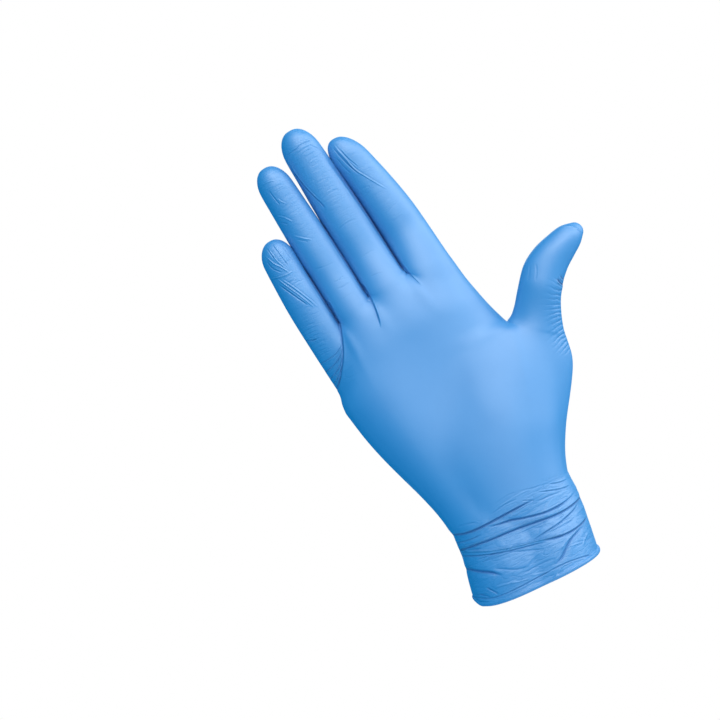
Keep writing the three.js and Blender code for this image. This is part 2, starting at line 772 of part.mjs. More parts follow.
// The closed film: the outer side, the same net one wall further in, and the bead round the mouth.
function filmGeometry() {
  const mouth = addOuterSide();
  const outerCount = points.length;
  const outerQuads = quads.slice();
  const { normals, stretch } = normalsOf(outerCount);
  for (let i = 0; i < outerCount; i++) {
    points[i].addScaledVector(normals[i], folds[i]);
  }
  for (let i = 0; i < outerCount; i++) {
    const inner = points[i].clone().addScaledVector(normals[i], -filmWall * stretch[i]);
    addPoint(inner.x, inner.y, inner.z);
  }
  for (const [a, b, c, d] of outerQuads) {
    quads.push([a, d, c, b].map((corner) => corner + outerCount));
  }

  // The bead hangs from the mouth: its rings run from the outer side round the bottom to the inner side.
  const inwards = mouth.map((corner) => corner + outerCount);
  let upper = mouth;
  for (let step = 0; step <= beadSteps; step++) {
    const angle = Math.PI * mix(1 / 6, -7 / 6, step / beadSteps);
    const lower = mouth.map((corner, i) => {
      const centre = points[corner].clone().lerp(points[inwards[i]], 0.5);
      const out = new THREE.Vector3(normals[corner].x, normals[corner].y, 0).normalize();
      centre.addScaledVector(out, beadRadius * Math.cos(angle));
      centre.z += beadRadius * (Math.sin(angle) - 1);
      return addPoint(centre.x, centre.y, centre.z);
    });
    addBand(lower, upper);
    upper = lower;
  }
  addBand(inwards, upper);

  const index = quads.flatMap(([a, b, c, d]) => [a, b, c, a, c, d]);
  const geometry = new THREE.BufferGeometry();
  const position = new Float32Array(points.flatMap((point) => point.toArray()));
  geometry.setAttribute("position", new THREE.BufferAttribute(position, 3));
  geometry.setIndex(index);
  geometry.computeVertexNormals();
  return geometry;
}

const nitrile = new THREE.MeshStandardMaterial({ color: 0x5f9fe4, roughness: 0.5, metalness: 0 });
const glove = new THREE.Mesh(filmGeometry(), nitrile);
glove.name = "glove";

const group = new THREE.Group();
group.add(glove);

export default group;
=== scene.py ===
import math

import bmesh
import bpy
import numpy as np
from mathutils import Matrix, Vector


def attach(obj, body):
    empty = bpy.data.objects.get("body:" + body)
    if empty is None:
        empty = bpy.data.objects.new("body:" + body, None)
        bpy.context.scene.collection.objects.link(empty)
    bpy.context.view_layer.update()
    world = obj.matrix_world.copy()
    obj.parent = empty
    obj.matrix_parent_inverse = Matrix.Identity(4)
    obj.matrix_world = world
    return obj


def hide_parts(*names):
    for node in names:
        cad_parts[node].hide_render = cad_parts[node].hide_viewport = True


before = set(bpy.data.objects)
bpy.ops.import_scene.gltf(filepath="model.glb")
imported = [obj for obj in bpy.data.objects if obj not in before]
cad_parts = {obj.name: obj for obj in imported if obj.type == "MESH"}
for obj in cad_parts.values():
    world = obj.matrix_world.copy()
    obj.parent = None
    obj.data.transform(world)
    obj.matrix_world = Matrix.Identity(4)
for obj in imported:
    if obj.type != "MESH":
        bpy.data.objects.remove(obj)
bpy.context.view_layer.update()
print("frame loaded")

# The glove's main sizes in millimetres, as in the part but for the film's wall, and how fine its net is.
glove = {
    "cuffLength": 40.5, "mouthWidth": 63.5, "mouthDepth": 47.0, "wristWidth": 62.5, "wristDepth": 41.0,
    "palmLength": 117.0, "palmWidth": 87.5, "palmDepth": 32.0, "knuckleWidth": 79.0,
    "thumbRootWidth": 28.5, "thenarDepth": 37.0, "thumbLength": 53.7, "thumbWidth": 21.0, "thumbDepth": 19.0,
    "fingerWidth": 20.2, "fingerDepth": 18.0, "webHalf": 2.6, "beadRadius": 1.15, "filmWall": 0.8,
    "spans": 7, "cuffRings": 20, "heelRings": 10, "palmRings": 8, "fingerRings": 16, "thumbRings": 24,
    "thumbRootRings": 4, "thumbFlat": 0.8, "rootPitch": 1.3, "rootReach": 19.2, "touch": 0.36, "beadSteps": 3,
}
cuff, palm = glove["cuffLength"], glove["palmLength"]
wrist, palmWide, knuckles = glove["wristWidth"], glove["palmWidth"], glove["knuckleWidth"]
palmThick = glove["palmDepth"]
spans, palmSpans, handSpans = glove["spans"], 4 * glove["spans"], 5 * glove["spans"]

# Width and depth are shares of the middle finger's, root and tip are shares of the knuckle width,
# bow, back and curl are shares of the length.
fingers = [
    {"length": 46.5 + 0.034 * palm, "drop": 0.034 * palm, "width": 0.812, "depth": 0.856, "root": -0.4518,
     "tip": -0.453, "bow": -0.016, "back": -0.06, "curl": 0.03,
     "flare": 0.075, "taper": 0.08, "rootRings": 7},
    {"length": 77.3, "drop": 0.0, "width": 0.886, "depth": 0.944, "root": -0.2285,
     "tip": -0.2595, "bow": -0.001, "back": -0.01, "curl": 0.06,
     "flare": 0.0, "taper": 0.13, "rootRings": 3},
    {"length": 86.5, "drop": 0.0, "width": 1.0, "depth": 1.0, "root": 0.015,
     "tip": -0.0185, "bow": 0.0, "back": 0.02, "curl": 0.07,
     "flare": 0.0, "taper": 0.14, "rootRings": 3},
    {"length": 73.0, "drop": 0.0, "width": 1.005, "depth": 0.978, "root": 0.282,
     "tip": 0.186, "bow": 0.029, "back": 0.055, "curl": 0.075,
     "flare": 0.06, "taper": 0.22, "rootRings": 3},
]

# Sections of the hand from the mouth to the fork of the thumb, as shares of the named sizes.
handUnits = [palmWide, palm, palmWide, palm, palmWide, palm, cuff,
             palmThick, palmThick, 1, 1, glove["thenarDepth"], glove["thenarDepth"]]
mouthUnits = [glove["mouthWidth"], cuff, glove["mouthWidth"], cuff, glove["mouthWidth"], cuff, cuff,
              glove["mouthDepth"], glove["mouthDepth"], 1, 1, glove["mouthDepth"], glove["mouthDepth"]]
wristUnits = [wrist, cuff, wrist, cuff, wrist, cuff, cuff,
              glove["wristDepth"], glove["wristDepth"], 1, 1, glove["wristDepth"], glove["wristDepth"]]
handSections = [  # left x z, right x z, fork x z, sag, front, back, palm end, thumb start, thumb front, back
    (mouthUnits, [-0.6, -0.715, 0.386, -0.93, 0.2, -0.885, 0.12, 0.49, 0.51, 1, 0.5, 0.3, 0.3]),
    (mouthUnits, [-0.563, -0.5, 0.432, -0.6, 0.24, -0.585, 0.06, 0.48, 0.49, 1, 0.5, 0.3, 0.3]),
    (wristUnits, [-0.53, -0.27, 0.476, -0.28, 0.27, -0.28, 0.02, 0.49, 0.52, 1, 0.5, 0.3, 0.3]),
    (wristUnits, [-0.509, 0, 0.491, 0, 0.29, 0, 0, 0.48, 0.52, 1, 0.3, 0.32, 0.3]),
    (handUnits, [-0.375, 0.094, 0.4, 0.077, 0.255, 0.1, 0, 0.56, 0.6, 0.99, 0.24, 0.42, 0.32]),
    (handUnits, [-0.4, 0.188, 0.469, 0.158, 0.31, 0.205, 0, 0.525, 0.56, 0.975, 0.22, 0.45, 0.34]),
    (handUnits, [-0.436, 0.29, 0.549, 0.235, 0.362, 0.315, 0, 0.51, 0.53, 0.95, 0.24, 0.435, 0.34]),
    (handUnits, [-0.473, 0.395, 0.623, 0.306, 0.41, 0.42, 0, 0.5, 0.515, 0.915, 0.3, 0.4, 0.33]),
    (handUnits, [-0.505, 0.513, 0.68, 0.376, 0.447, 0.525, 0, 0.49, 0.505, 0.855, 0.46, 0.345, 0.3]),
    (handUnits, [-0.526, 0.641, 0.474, 0.628, 0.474, 0.628, 0, 0.475, 0.495, 0.76, 0.76, 0.318, 0.267]),
]
handTable = np.array([np.multiply(units, row) for units, row in handSections])
# The last section ends across the root of the thumb.
handTable[-1, 2:4] += (0.713 * glove["thumbRootWidth"], -0.719 * glove["thumbRootWidth"])
palmTable = np.array([  # left, right, front, back
    [-0.526 * palmWide, 0.474 * palmWide, 0.475 * palmThick, 0.495 * palmThick],
    [-0.576 * knuckles, 0.49 * knuckles, 0.465 * palmThick, 0.49 * palmThick],
    [-0.56 * knuckles, 0.463 * knuckles, 0.44 * palmThick, 0.46 * palmThick],
    [-0.557 * knuckles, 0.443 * knuckles, 0.37 * palmThick, 0.375 * palmThick],
])
baseLine = [(0.02, 0.755), (0.215, 0.965), (0.445, 1.0), (0.715, 1.0), (0.98, 0.9)]  # across, height
thumbTable = np.array([  # aside, up, turn, wide, deep, forward
    [0, 0, 46, 1.357, 1.14, 0.08],
    [0.055, 0.085, 45, 1.16, 1.08, 0.12],
    [0.172, 0.264, 47, 1.01, 1.0, 0.17],
    [0.298, 0.406, 53, 0.97, 0.97, 0.17],
    [0.419, 0.488, 60, 0.875, 0.94, 0.17],
    [0.544, 0.538, 66, 0.755, 0.86, 0.18],
    [0.67, 0.58, 70, 0.6, 0.68, 0.19],
    [0.762, 0.602, 72, 0.33, 0.36, 0.2],
])
swells = [  # side, x, z, reach in x and z, height: shares of the palm's width, length and depth
    (-1, -0.33, 0.42, 0.17, 0.3, 0.08), (-1, 0.02, 0.52, 0.19, 0.24, -0.03),
    (-1, -0.19, 0.87, 0.09, 0.08, 0.04), (-1, 0.02, 0.88, 0.1, 0.08, 0.045),
    (-1, 0.26, 0.85, 0.1, 0.09, 0.04), (1, -0.4, 0.78, 0.07, 0.06, 0.05),
    (1, -0.2, 0.84, 0.08, 0.07, 0.06), (1, 0.02, 0.87, 0.09, 0.07, 0.07), (1, 0.26, 0.84, 0.09, 0.07, 0.07),
]


# How square the forms are, as powers: 2 is a round arch, and more is flatter with steeper sides.
roundness = {"palm": 2.5, "thumb": 2, "sag": 3, "joined": 2.6, "web": 4, "fingerEnd": 2.2}


def sampleTable(rows, share):  # Catmull-Rom through the rows
    place = min(max(share, 0.0), 1.0) * (len(rows) - 1)
    row = min(int(place), len(rows) - 2)
    t = place - row
    a, b, c, d = rows[max(row - 1, 0)], rows[row], rows[row + 1], rows[min(row + 2, len(rows) - 1)]
    return b + 0.5 * t * (c - a + t * (2 * a - 5 * b + 4 * c - d + t * (3 * (b - c) + d - a)))


def mix(a, b, t):
    return a + (b - a) * t


def smoothStep(value, low, high):
    t = np.clip((value - low) / (high - low), 0.0, 1.0)
    return t * t * (3 - 2 * t)


def arch(place, power):
    off = abs(2 * place - 1)
    return 0.0 if off >= 1 else (1 - off ** power) ** (1 / power)


def joinedForms(palmForm, thumbForm=0.0):  # palm and thumb side by side, never thinner than the web
    join, web = roundness["joined"], roundness["web"]
    both = (palmForm ** join + thumbForm ** join) ** (1 / join)
    return (both ** web + glove["webHalf"] ** web) ** (1 / web)


def columnShare(column):
    finger = min(column // spans, 3)
    return mix(baseLine[finger][0], baseLine[finger + 1][0], column / spans - finger)


def baseHeight(column):
    finger = min(column // spans, 3)
    t = column / spans - finger
    dip = 0.0 if finger == 0 else 0.03 * math.sin(math.pi * t)
    shape = t ** 1.25 if finger == 0 else t
    return palm * (mix(baseLine[finger][1], baseLine[finger + 1][1], shape) - dip)


def swellHeight(x, z, side):
    total = 0.0
    for rowSide, midX, midZ, reachX, reachZ, height in swells:
        if rowSide == side:
            off = ((x / palmWide - midX) / reachX) ** 2 + ((z / palm - midZ) / reachZ) ** 2
            total += height * palmThick * math.exp(-off)
    return total


points, quads = [], []


def addPoint(x, y, z):
    points.append((x, y, z))
    return len(points) - 1


def addBand(lower, upper):
    for i in range(len(lower)):
        j = (i + 1) % len(lower)
        quads.append((lower[i], lower[j], upper[j], upper[i]))


def ringOf(front, right, back, left):
    return [*front, right, *reversed(back), left]


def handRing(share):
    leftX, leftZ, rightX, rightZ, forkX, forkZ, sag, *depths = sampleTable(handTable, share)
    frontDepth, backDepth, palmEnd, thumbStart, thumbFront, thumbBack = depths
    palmRun = math.hypot(forkX - leftX, forkZ - leftZ)
    thumbRun = math.hypot(rightX - forkX, rightZ - forkZ)
    front, back = [], []
    for column in range(handSpans + 1):
        onPalm = column <= palmSpans
        t = columnShare(column) / baseLine[4][0] if onPalm else (column - palmSpans) / spans * 0.97
        x = mix(leftX, forkX, t) if onPalm else mix(forkX, rightX, t)
        z = mix(leftZ, forkZ, t) if onPalm else mix(forkZ, rightZ, t)
        place = (t * palmRun if onPalm else palmRun + t * thumbRun) / (palmRun + thumbRun)
        palmArch = arch(place / palmEnd, roundness["palm"])
        thumbArch = arch((place - thumbStart) / (1 - thumbStart), roundness["thumb"])
        sagArch = arch(place, roundness["sag"]) * (1.25 - 0.7 * place)
        faces = (-1, frontDepth, thumbFront, front), (1, backDepth, thumbBack, back)
        for side, palmDeep, thumbDeep, row in faces:
            deep = joinedForms(palmDeep * palmArch, thumbDeep * thumbArch)
            deep += swellHeight(x, z, side) * palmArch
            low = z - (sag * sagArch if side < 0 else 0)
            row.append(addPoint(x, side * deep, low))
    return front, addPoint(rightX, 0, rightZ), back, addPoint(leftX, 0, leftZ)


def palmRing(share):
    left, right, frontDepth, backDepth = sampleTable(palmTable, share)
    fork = handTable[-1]
    front, back = [], []
    for column in range(palmSpans + 1):
        place = columnShare(column)
        x = mix(left, right, place)
        z = mix(mix(fork[1], fork[5], place), baseHeight(column), share)
        nearWeb = min(abs(column - spans * k) for k in (1, 2, 3))
        valley = 1 - {0: 0.42, 1: 0.1}.get(nearWeb, 0.0) * share ** 6
        form = arch(place, roundness["palm"])
        for side, deep, row in ((-1, frontDepth, front), (1, backDepth, back)):
            deep = joinedForms(deep * form) + swellHeight(x, z, side) * form
            row.append(addPoint(x, side * deep * valley, z))
    rightEdge = addPoint(right, 0, mix(fork[5], baseHeight(palmSpans), share))
    leftEdge = addPoint(left, 0, mix(fork[1], baseHeight(0), share))
    return front, rightEdge, back, leftEdge


ringPoints = 2 * (spans + 2)
ringAngles = [-math.pi / 2 + (i - spans / 2) * 2 * math.pi / ringPoints for i in range(ringPoints)]


def addTip(ring, tip):
    front, back = ring[:spans + 1], ring[spans + 2:2 * spans + 3][::-1]
    middle = [ring[2 * spans + 3]]
    rise = Vector(tip) - (Vector(points[ring[spans + 1]]) + Vector(points[middle[0]])) / 2
    for i in range(1, spans):
        between = (Vector(points[front[i]]) + Vector(points[back[i]])) / 2
        middle.append(addPoint(*(between + rise * (1 - (2 * i / spans - 1) ** 2))))
    middle.append(ring[spans + 1])
    for i in range(spans):
        quads.append((front[i], front[i + 1], middle[i + 1], middle[i]))
        quads.append((middle[i], middle[i + 1], back[i + 1], back[i]))


def addRings(base, steps, length, sectionAt):  # the base ring's shape fades into the sections
    rest = np.array([points[i] for i in base]) - sectionAt(0.0)
    lower = base
    for share, carry in steps:
        deep = max(carry, 1 - smoothStep(share * length, 0, glove["rootReach"]))
        upper = [addPoint(*p) for p in sectionAt(share) + rest * (carry, deep, carry)]
        addBand(lower, upper)
        lower = upper
    return lower


def addFinger(finger, base):
    length = finger["length"]
    width, depth = finger["width"] * glove["fingerWidth"], finger["depth"] * glove["fingerDepth"]
    rootZ, roundStart = palm - finger["drop"], 1 - 0.625 * width / length
    rings, rootRings = glove["fingerRings"], finger["rootRings"]
    rootEnd = rootRings * glove["rootPitch"] / length
    steps = []
    for ring in range(1, rootRings + rings + 1):
        onward = (ring - rootRings) / rings
        share = ring * glove["rootPitch"] / length
        if onward > 0:
            share = mix(rootEnd, 1, 0.99 * math.sin(onward * math.pi / 2) ** 0.92)  # closer near the tip
        steps.append((share, max(0.0, 1 - ring / (rootRings + 1))))

    def sectionAt(share):
        x = knuckles * mix(finger["root"], finger["tip"], share)
        x += finger["bow"] * length * 4 * share * (1 - share)
        y = length * (finger["back"] - finger["curl"] * share ** 2)
        past = max(0.0, (share - roundStart) / (1 - roundStart))
        end = (1 - past ** roundness["fingerEnd"]) ** (1 / roundness["fingerEnd"])
        thin = (1 - finger["taper"] * smoothStep(share, 0.35, 1)) * end / 2
        wide = width * (1 + finger["flare"] * (1 - smoothStep(share, 0, 0.6))) * thin
        wide += glove["touch"] * end * (1 - smoothStep(share, 0.8, 1))
        return np.array([[x + wide * math.cos(a), y + depth * thin * math.sin(a), rootZ + length * share]
                         for a in ringAngles])

    last = addRings(base, steps, length, sectionAt)
    addTip(last, (knuckles * finger["tip"], length * (finger["back"] - finger["curl"]), rootZ + length))


def addThumb(base):
    fork = handTable[-1]
    rootX, rootZ = (fork[4] + fork[2]) / 2, (fork[5] + fork[3]) / 2
    length = glove["thumbLength"]

    def sectionAt(share):
        aside, up, turn, wide, deep, forward = sampleTable(thumbTable, share)
        turn = math.radians(turn)
        across = wide * glove["thumbWidth"] / 2 * np.cos(ringAngles)
        rise = np.sin(ringAngles)
        rise = deep * glove["thumbDepth"] / 2 * np.sign(rise) * np.abs(rise) ** glove["thumbFlat"]
        return np.stack([rootX + aside * length + across * math.cos(turn),
                         rise - forward * glove["thumbDepth"],
                         rootZ + up * length - across * math.sin(turn)], axis=1)

    rings = glove["thumbRings"]
    steps = [(0.995 * ring / rings, max(0.0, 1 - ring / (glove["thumbRootRings"] + 1)))
             for ring in range(1, rings + 1)]
    last = addRings(base, steps, length, sectionAt)
    aside, up, turn, wide, deep, forward = sampleTable(thumbTable, 1.0)
    turn, reach = math.radians(turn), 0.034 * length
    addTip(last, (rootX + aside * length + reach * math.sin(turn), -forward * glove["thumbDepth"],
                  rootZ + up * length + reach * math.cos(turn)))


def layNet():
    heelStart = 3 / (len(handTable) - 1)
    cuffRings, heelRings = glove["cuffRings"], glove["heelRings"]
    shares = [heelStart * i / cuffRings for i in range(cuffRings + 1)]
    shares += [mix(heelStart, 1, 1 - (1 - i / heelRings) ** 1.25) for i in range(1, heelRings + 1)]
    rings = [handRing(share) for share in shares]
    loops = [ringOf(*ring) for ring in rings]
    for lower, upper in zip(loops, loops[1:]):
        addBand(lower, upper)

    front, right, back, left = rings[-1]
    crotch = addPoint(handTable[-1, 4], 0, handTable[-1, 5] + 0.4 * glove["webHalf"])
    addThumb(ringOf(front[palmSpans:], right, back[palmSpans:], crotch))
    ring = (front[:palmSpans + 1], crotch, back[:palmSpans + 1], left)
    for i in range(1, glove["palmRings"] + 1):
        upper = palmRing(i / glove["palmRings"])
        addBand(ringOf(*ring), ringOf(*upper))
        ring = upper
    front, right, back, left = ring
    edges = [left]
    for column in range(spans, palmSpans, spans):
        a, b = points[front[column]], points[back[column]]
        edges.append(addPoint((a[0] + b[0]) / 2, (a[1] + b[1]) / 2, a[2] + 0.5 * glove["webHalf"]))
    edges.append(right)
    for i, finger in enumerate(fingers):
        span = slice(i * spans, (i + 1) * spans + 1)
        addFinger(finger, ringOf(front[span], edges[i + 1], back[span], edges[i]))
    return loops[0]


def addBead(mouth):  # the film's edge, rolled outwards into a bead
    middle = np.mean([points[i] for i in mouth], axis=0)
    upper = mouth
    for step in range(glove["beadSteps"] + 1):
        angle = math.pi * mix(1 / 6, -7 / 6, step / glove["beadSteps"])
        lower = []
        for i in mouth:
            out = Vector((points[i][0] - middle[0], (points[i][1] - middle[1]) * 1.8, 0)).normalized()
            centre = Vector(points[i]) - out * glove["filmWall"] / 2
            centre += out * glove["beadRadius"] * math.cos(angle)
            lower.append(addPoint(centre.x, centre.y, centre.z + glove["beadRadius"] * (math.sin(angle) - 1)))
        addBand(lower, upper)
        upper = lower


def smoothNet(cage, faces, levels):  # Catmull-Clark, as points, faces and normals
    mesh = bpy.data.meshes.new("net")
    mesh.from_pydata(cage.tolist(), [], faces)
    net = bpy.data.objects.new("net", mesh)
    bpy.context.scene.collection.objects.link(net)
    smooth = net.modifiers.new("smooth", "SUBSURF")
    smooth.levels = smooth.render_levels = levels
    fine = net.evaluated_get(bpy.context.evaluated_depsgraph_get()).to_mesh()
    place, normal = np.empty(len(fine.vertices) * 3), np.empty(len(fine.vertices) * 3)
    corners = np.empty(len(fine.loops), dtype=np.int64)
    fine.vertices.foreach_get("co", place)
    fine.vertices.foreach_get("normal", normal)
    fine.loops.foreach_get("vertex_index", corners)
    bpy.data.objects.remove(net)
    bpy.data.meshes.remove(mesh)
    return place.reshape(-1, 3), corners.reshape(-1, 4), normal.reshape(-1, 3)


def fitNet(target, faces):  # moves the cage until its smooth surface passes through the points
    cage = target.copy()
    for _ in range(3):
        cage += 0.9 * (target - smoothNet(cage, faces, 1)[0][:len(target)])
    return cage


# Folds of the film. Each row: side (-1 palm side, 1 back), height and half width in millimetres, which ends
# run on round the edge, and the places x, z that it passes through. A crease has a negative height.
cuffFolds = [
    (-1, -1.4, 0.6, "start", (-34, 1.8, -33, 1.5, -27, -0.8, -20, -1.9, -12, -2.3, -5, -2.5, 4, -2.8,
                              10, -3.3)),
    (-1, -1.1, 0.6, "", (-16, -3.4, -12, -4.6, -5, -6.2, 0, -8, 8, -10.3, 13, -11.3, 21, -11.7, 30, -10.6)),
    (-1, 0.55, 0.5, "start", (-34, -5.2, -30, -6, -24, -7.4, -15, -8.3, 0, -10.4, 10, -12.4, 20, -13)),
    (-1, -1.2, 0.55, "start end", (-34, -6.8, -26.5, -7.9, -16, -9.5, -5.4, -10.9, 4, -12.6, 13.4, -14.3,
                                   21, -14.9, 28.5, -14.4, 32, -13)),
    (-1, -0.7, 0.5, "", (-2, -19.2, 6, -18.8, 15, -18.4, 22, -17.2, 27, -16)),
    (-1, 0.4, 0.5, "", (-8, -9.6, 0, -10.6, 8, -12.2, 16, -13.4, 24, -13.8)),
    (-1, 0.75, 0.6, "start", (-34, -6.9, -32, -7.7, -26, -10.7, -20, -13.5, -10, -17.1, 0, -19.9, 10, -22.7,
                              17, -24.4)),
    (-1, -0.7, 0.5, "start", (-33, -9.8, -24, -13.9, -14, -17.6, -4, -20.4, 6, -23.2)),
    (-1, -1.1, 0.6, "", (2, -21.4, 8, -23.1, 14, -24.4, 20, -24.8, 25, -24.2, 28, -23.4)),
    (-1, -1.1, 0.8, "start", (-36, -15.2, -33, -17, -30, -19.3, -25, -22.6, -21, -26.3)),
    (-1, -0.8, 0.8, "", (1, -33.9, 6, -33, 10, -30.6, 14, -28.2, 19, -26.6, 25, -25.8)),
    (-1, 0.35, 0.7, "", (8, -29.6, 13, -27, 20, -25.9)),
    (-1, -0.5, 0.5, "start end", (-38, -29.5, -36, -30.5, -30, -33.3, -20, -34.6, -5, -35.2, 5, -35.6,
                                  12, -36.8, 18, -38.6)),
    (-1, 0.4, 0.6, "start", (-36, -31.8, -30, -34.8, -20, -36.4, -8, -37)),
    (-1, -0.5, 0.5, "", (12, -1, 18, -3.6, 23, -5.6, 28, -6.8)),
    (-1, -0.45, 0.5, "", (19, -0.8, 23, -2.4, 28, -3.8)),
    (-1, -0.35, 0.45, "", (4, -0.6, 7, -2.2, 9, -3.4)),
    (-1, -0.5, 0.5, "start", (-32, -3.3, -26, -4.6, -20, -5.2)),
    (-1, -0.4, 0.5, "", (-28, -14.5, -22, -15.2, -16, -16.2)),
    (-1, -0.55, 0.6, "", (-30.5, -27.5, -29, -30, -27, -33)),
    (-1, -0.45, 0.6, "", (-35, -29, -33, -30.8, -31, -32.6)),
    (-1, -0.3, 0.7, "", (-23, -21.5, -19, -24, -14, -27, -8, -28.6)),
    (-1, 0.3, 0.7, "", (-12, -28.4, -6, -26.4, 0, -25.2)),
    (-1, -0.25, 0.6, "", (-14, -30.2, -5, -30.2, 5, -31.2)),
    (-1, 0.35, 0.6, "", (18, -33.4, 21, -31, 24, -29.6)),
    (-1, 0.35, 0.6, "", (4, -36.6, 1, -38.2, -2, -39)),
    (-1, 0.4, 0.9, "start", (-34, -4.9, -31, -5, -28, -5.4)),
    (-1, 0.4, 0.9, "end", (22, -19.4, 26, -18.8, 31, -18.4)),
    (-1, -0.35, 0.5, "", (-4, -13.4, 4, -14.2, 12, -14.6)),
    (-1, -0.3, 0.5, "", (6, -19.4, 14, -20.2, 22, -20.4)),
    (-1, -0.3, 0.5, "", (-12, 0.8, -4, 1.6, 3, 1.2)),
    (-1, -0.2, 0.5, "", (-8, 4.2, -1, 4.8, 4, 4.2)),
    (1, -1.9, 0.9, "start", (-34, 1.8, -26, -0.5, -12, -2.4, 2, -3.8, 12, -5.6)),
    (1, 0.6, 0.6, "start", (-34, -5.2, -22, -7, -6, -8.6, 10, -11, 20, -13)),
    (1, -1.2, 0.7, "end", (-6, -5.4, 6, -8.6, 18, -11.2, 30, -10.6)),
    (1, -1.3, 0.7, "end", (-8, -18.6, 6, -17.4, 20, -15.9, 30, -13.2)),
    (1, 0.7, 0.7, "start", (-34, -7, -24, -11.6, -10, -16.4, 6, -21, 18, -24.6)),
    (1, -1.0, 0.8, "start", (-36, -15.6, -28, -20, -18, -24, -8, -26.2)),
    (1, -0.9, 0.7, "", (-4, -30, 8, -31, 18, -28.5, 24, -26)),
    (1, -0.6, 0.6, "start end", (-38, -29.5, -28, -31.6, -12, -33.4, 6, -35.4, 20, -37.6)),
    (1, -0.5, 0.6, "", (-26, -10.5, -16, -12.6, -6, -13.4)),
    (1, -0.45, 0.6, "", (4, -25, 14, -27.6)),
]
# These are all on the palm side, so their rows start with the height.
littleFolds = [
    (-0.9, 0.6, "start end", (-26.6, 124, -27, 118, -27.3, 113, -29, 108.5, -31, 104, -33.4, 99.5,
                              -36, 95.8, -40, 91, -44, 87)),
    (-0.56, 0.45, "end", (-31, 104.4, -34, 102.6, -38, 101.6, -44, 101.6)),
    (-0.7, 0.45, "end", (-32, 102.2, -36, 99.2, -40, 97.8, -46, 96.8)),
    (-0.7, 0.45, "end", (-33.6, 99.4, -37, 96.2, -41, 94.2, -46, 92.6)),
    (-0.63, 0.45, "end", (-36, 96, -39, 93, -42.5, 90.8, -46, 89.2)),
    (-0.56, 0.45, "end", (-39, 92, -41.6, 89.6, -44, 87.8, -46, 86.4)),
    (-0.6, 0.5, "start", (-46, 114.4, -44.5, 114.2, -42, 113, -39.5, 112.6)),
    (0.45, 0.5, "", (-41, 158.5, -39.5, 153.5, -37, 149.5, -35, 145.5)),
    (0.3, 0.45, "", (-38.2, 160.5, -37.2, 153, -35, 147)),
    (0.45, 0.5, "start", (-44, 147.8, -43.5, 147.5, -40, 146.2, -36, 145.6, -33, 145.6)),
    (0.55, 0.5, "", (-42, 147, -39, 140, -36, 133, -33.2, 125.4)),
    (0.45, 0.5, "", (-40.3, 145.5, -37, 139, -34, 131.5, -31.6, 124.5)),
    (-0.6, 0.5, "", (-42.6, 144, -38.6, 135, -35.4, 128)),
    (-0.4, 0.5, "", (-41.6, 156, -41, 151.5, -38, 147.4)),
    (-0.35, 0.45, "", (-38.5, 161, -38, 155)),
    (-0.35, 0.45, "", (-35.5, 162, -34, 148)),
    (-0.3, 0.45, "", (-31.6, 158, -31.2, 150)),
]
fingerFolds = [
    (-0.35, 0.5, "", (-24, 184, -23.5, 179, -22.8, 175)),
    (0.3, 0.45, "", (-25.6, 187.5, -22.6, 187.4, -19, 186.4)),
    (0.3, 0.45, "", (-22.4, 178.4, -21.4, 176, -19.8, 174.6)),
    (0.3, 0.5, "", (-27, 172, -24, 169, -21.5, 165)),
    (-0.3, 0.5, "", (-27, 168.5, -24, 165.5)),
    (0.3, 0.5, "", (-25, 160, -21.4, 156.4, -18, 153.6)),
    (-0.25, 0.5, "", (-24.4, 157.6, -20, 153.6)),
    (0.55, 0.5, "", (-8.8, 193.5, -9.0, 185, -8.2, 177, -6.8, 171, -5.6, 165)),
    (-0.7, 0.55, "", (-9.4, 186, -8.9, 179, -7.6, 172.5, -6.0, 166.5, -5.4, 163)),
    (-0.3, 0.5, "", (-6, 193.4, 0, 194.5, 6, 194)),
    (-0.15, 0.5, "", (-6, 191.6, 0, 192.4, 5, 192)),
    (-0.2, 0.5, "", (3, 193, 6, 189, 8, 185)),
    (-0.15, 0.6, "", (-6, 167.6, 0, 168.4, 5, 168)),
    (-0.15, 0.6, "", (-6, 151.6, 0, 152.2, 5, 151.8)),
    (0.55, 0.5, "", (13, 188.5, 13.8, 183, 14.8, 178, 16, 172, 19, 166, 22, 160.5, 25, 155.5)),
    (-0.45, 0.5, "", (12, 187, 13, 181, 14.4, 175, 16.6, 168.6)),
    (-0.3, 0.45, "", (14.6, 184, 15.6, 178.5, 18, 172)),
    (-0.25, 0.5, "", (11, 182, 12, 176, 13.4, 171)),
    (-0.8, 0.6, "start", (-8.6, 124, -8.6, 118, -8.9, 114, -9.5, 110, -10.4, 106, -11.8, 101.5)),
    (-0.4, 0.5, "", (-10.4, 116.4, -9.6, 115.4, -8.6, 114.8)),
    (-0.5, 0.5, "start", (12.3, 122, 12.8, 118, 13.6, 114, 15, 109)),
    (-0.2, 0.6, "", (-20, 128, -17, 127.4, -13, 127.8)),
    (-0.15, 0.5, "", (-24, 141, -19, 139.8, -14, 139.6)),
]
thumbFolds = [
    (-2.0, 0.55, "start", (75, 73.5, 73.4, 75.2, 72, 76.8, 71.4, 80)),
    (-0.9, 0.5, "start", (76, 76, 74.4, 77.2, 73.2, 80.6)),
    (0.35, 0.5, "", (85, 99.6, 89, 98.2, 91.6, 95.5, 92.8, 92.5)),
    (-0.15, 0.6, "", (59, 86, 61.5, 88.5, 64, 92)),
    (-0.15, 0.6, "", (62, 84, 64.5, 87, 66.5, 91)),
]
# The fine ripples on the thumb's outer side: its edge line, and how far in they reach.
rippleEdge = {
    "line": (60, 45, 61.5, 51, 63, 57, 65, 63, 67.5, 68, 71, 73.5, 75, 77.5),
    "reach": 5.6, "lower": 0.55, "upper": -0.25, "fromX": 40, "start": (0.0, 0.15), "end": (0.88, 1),
}


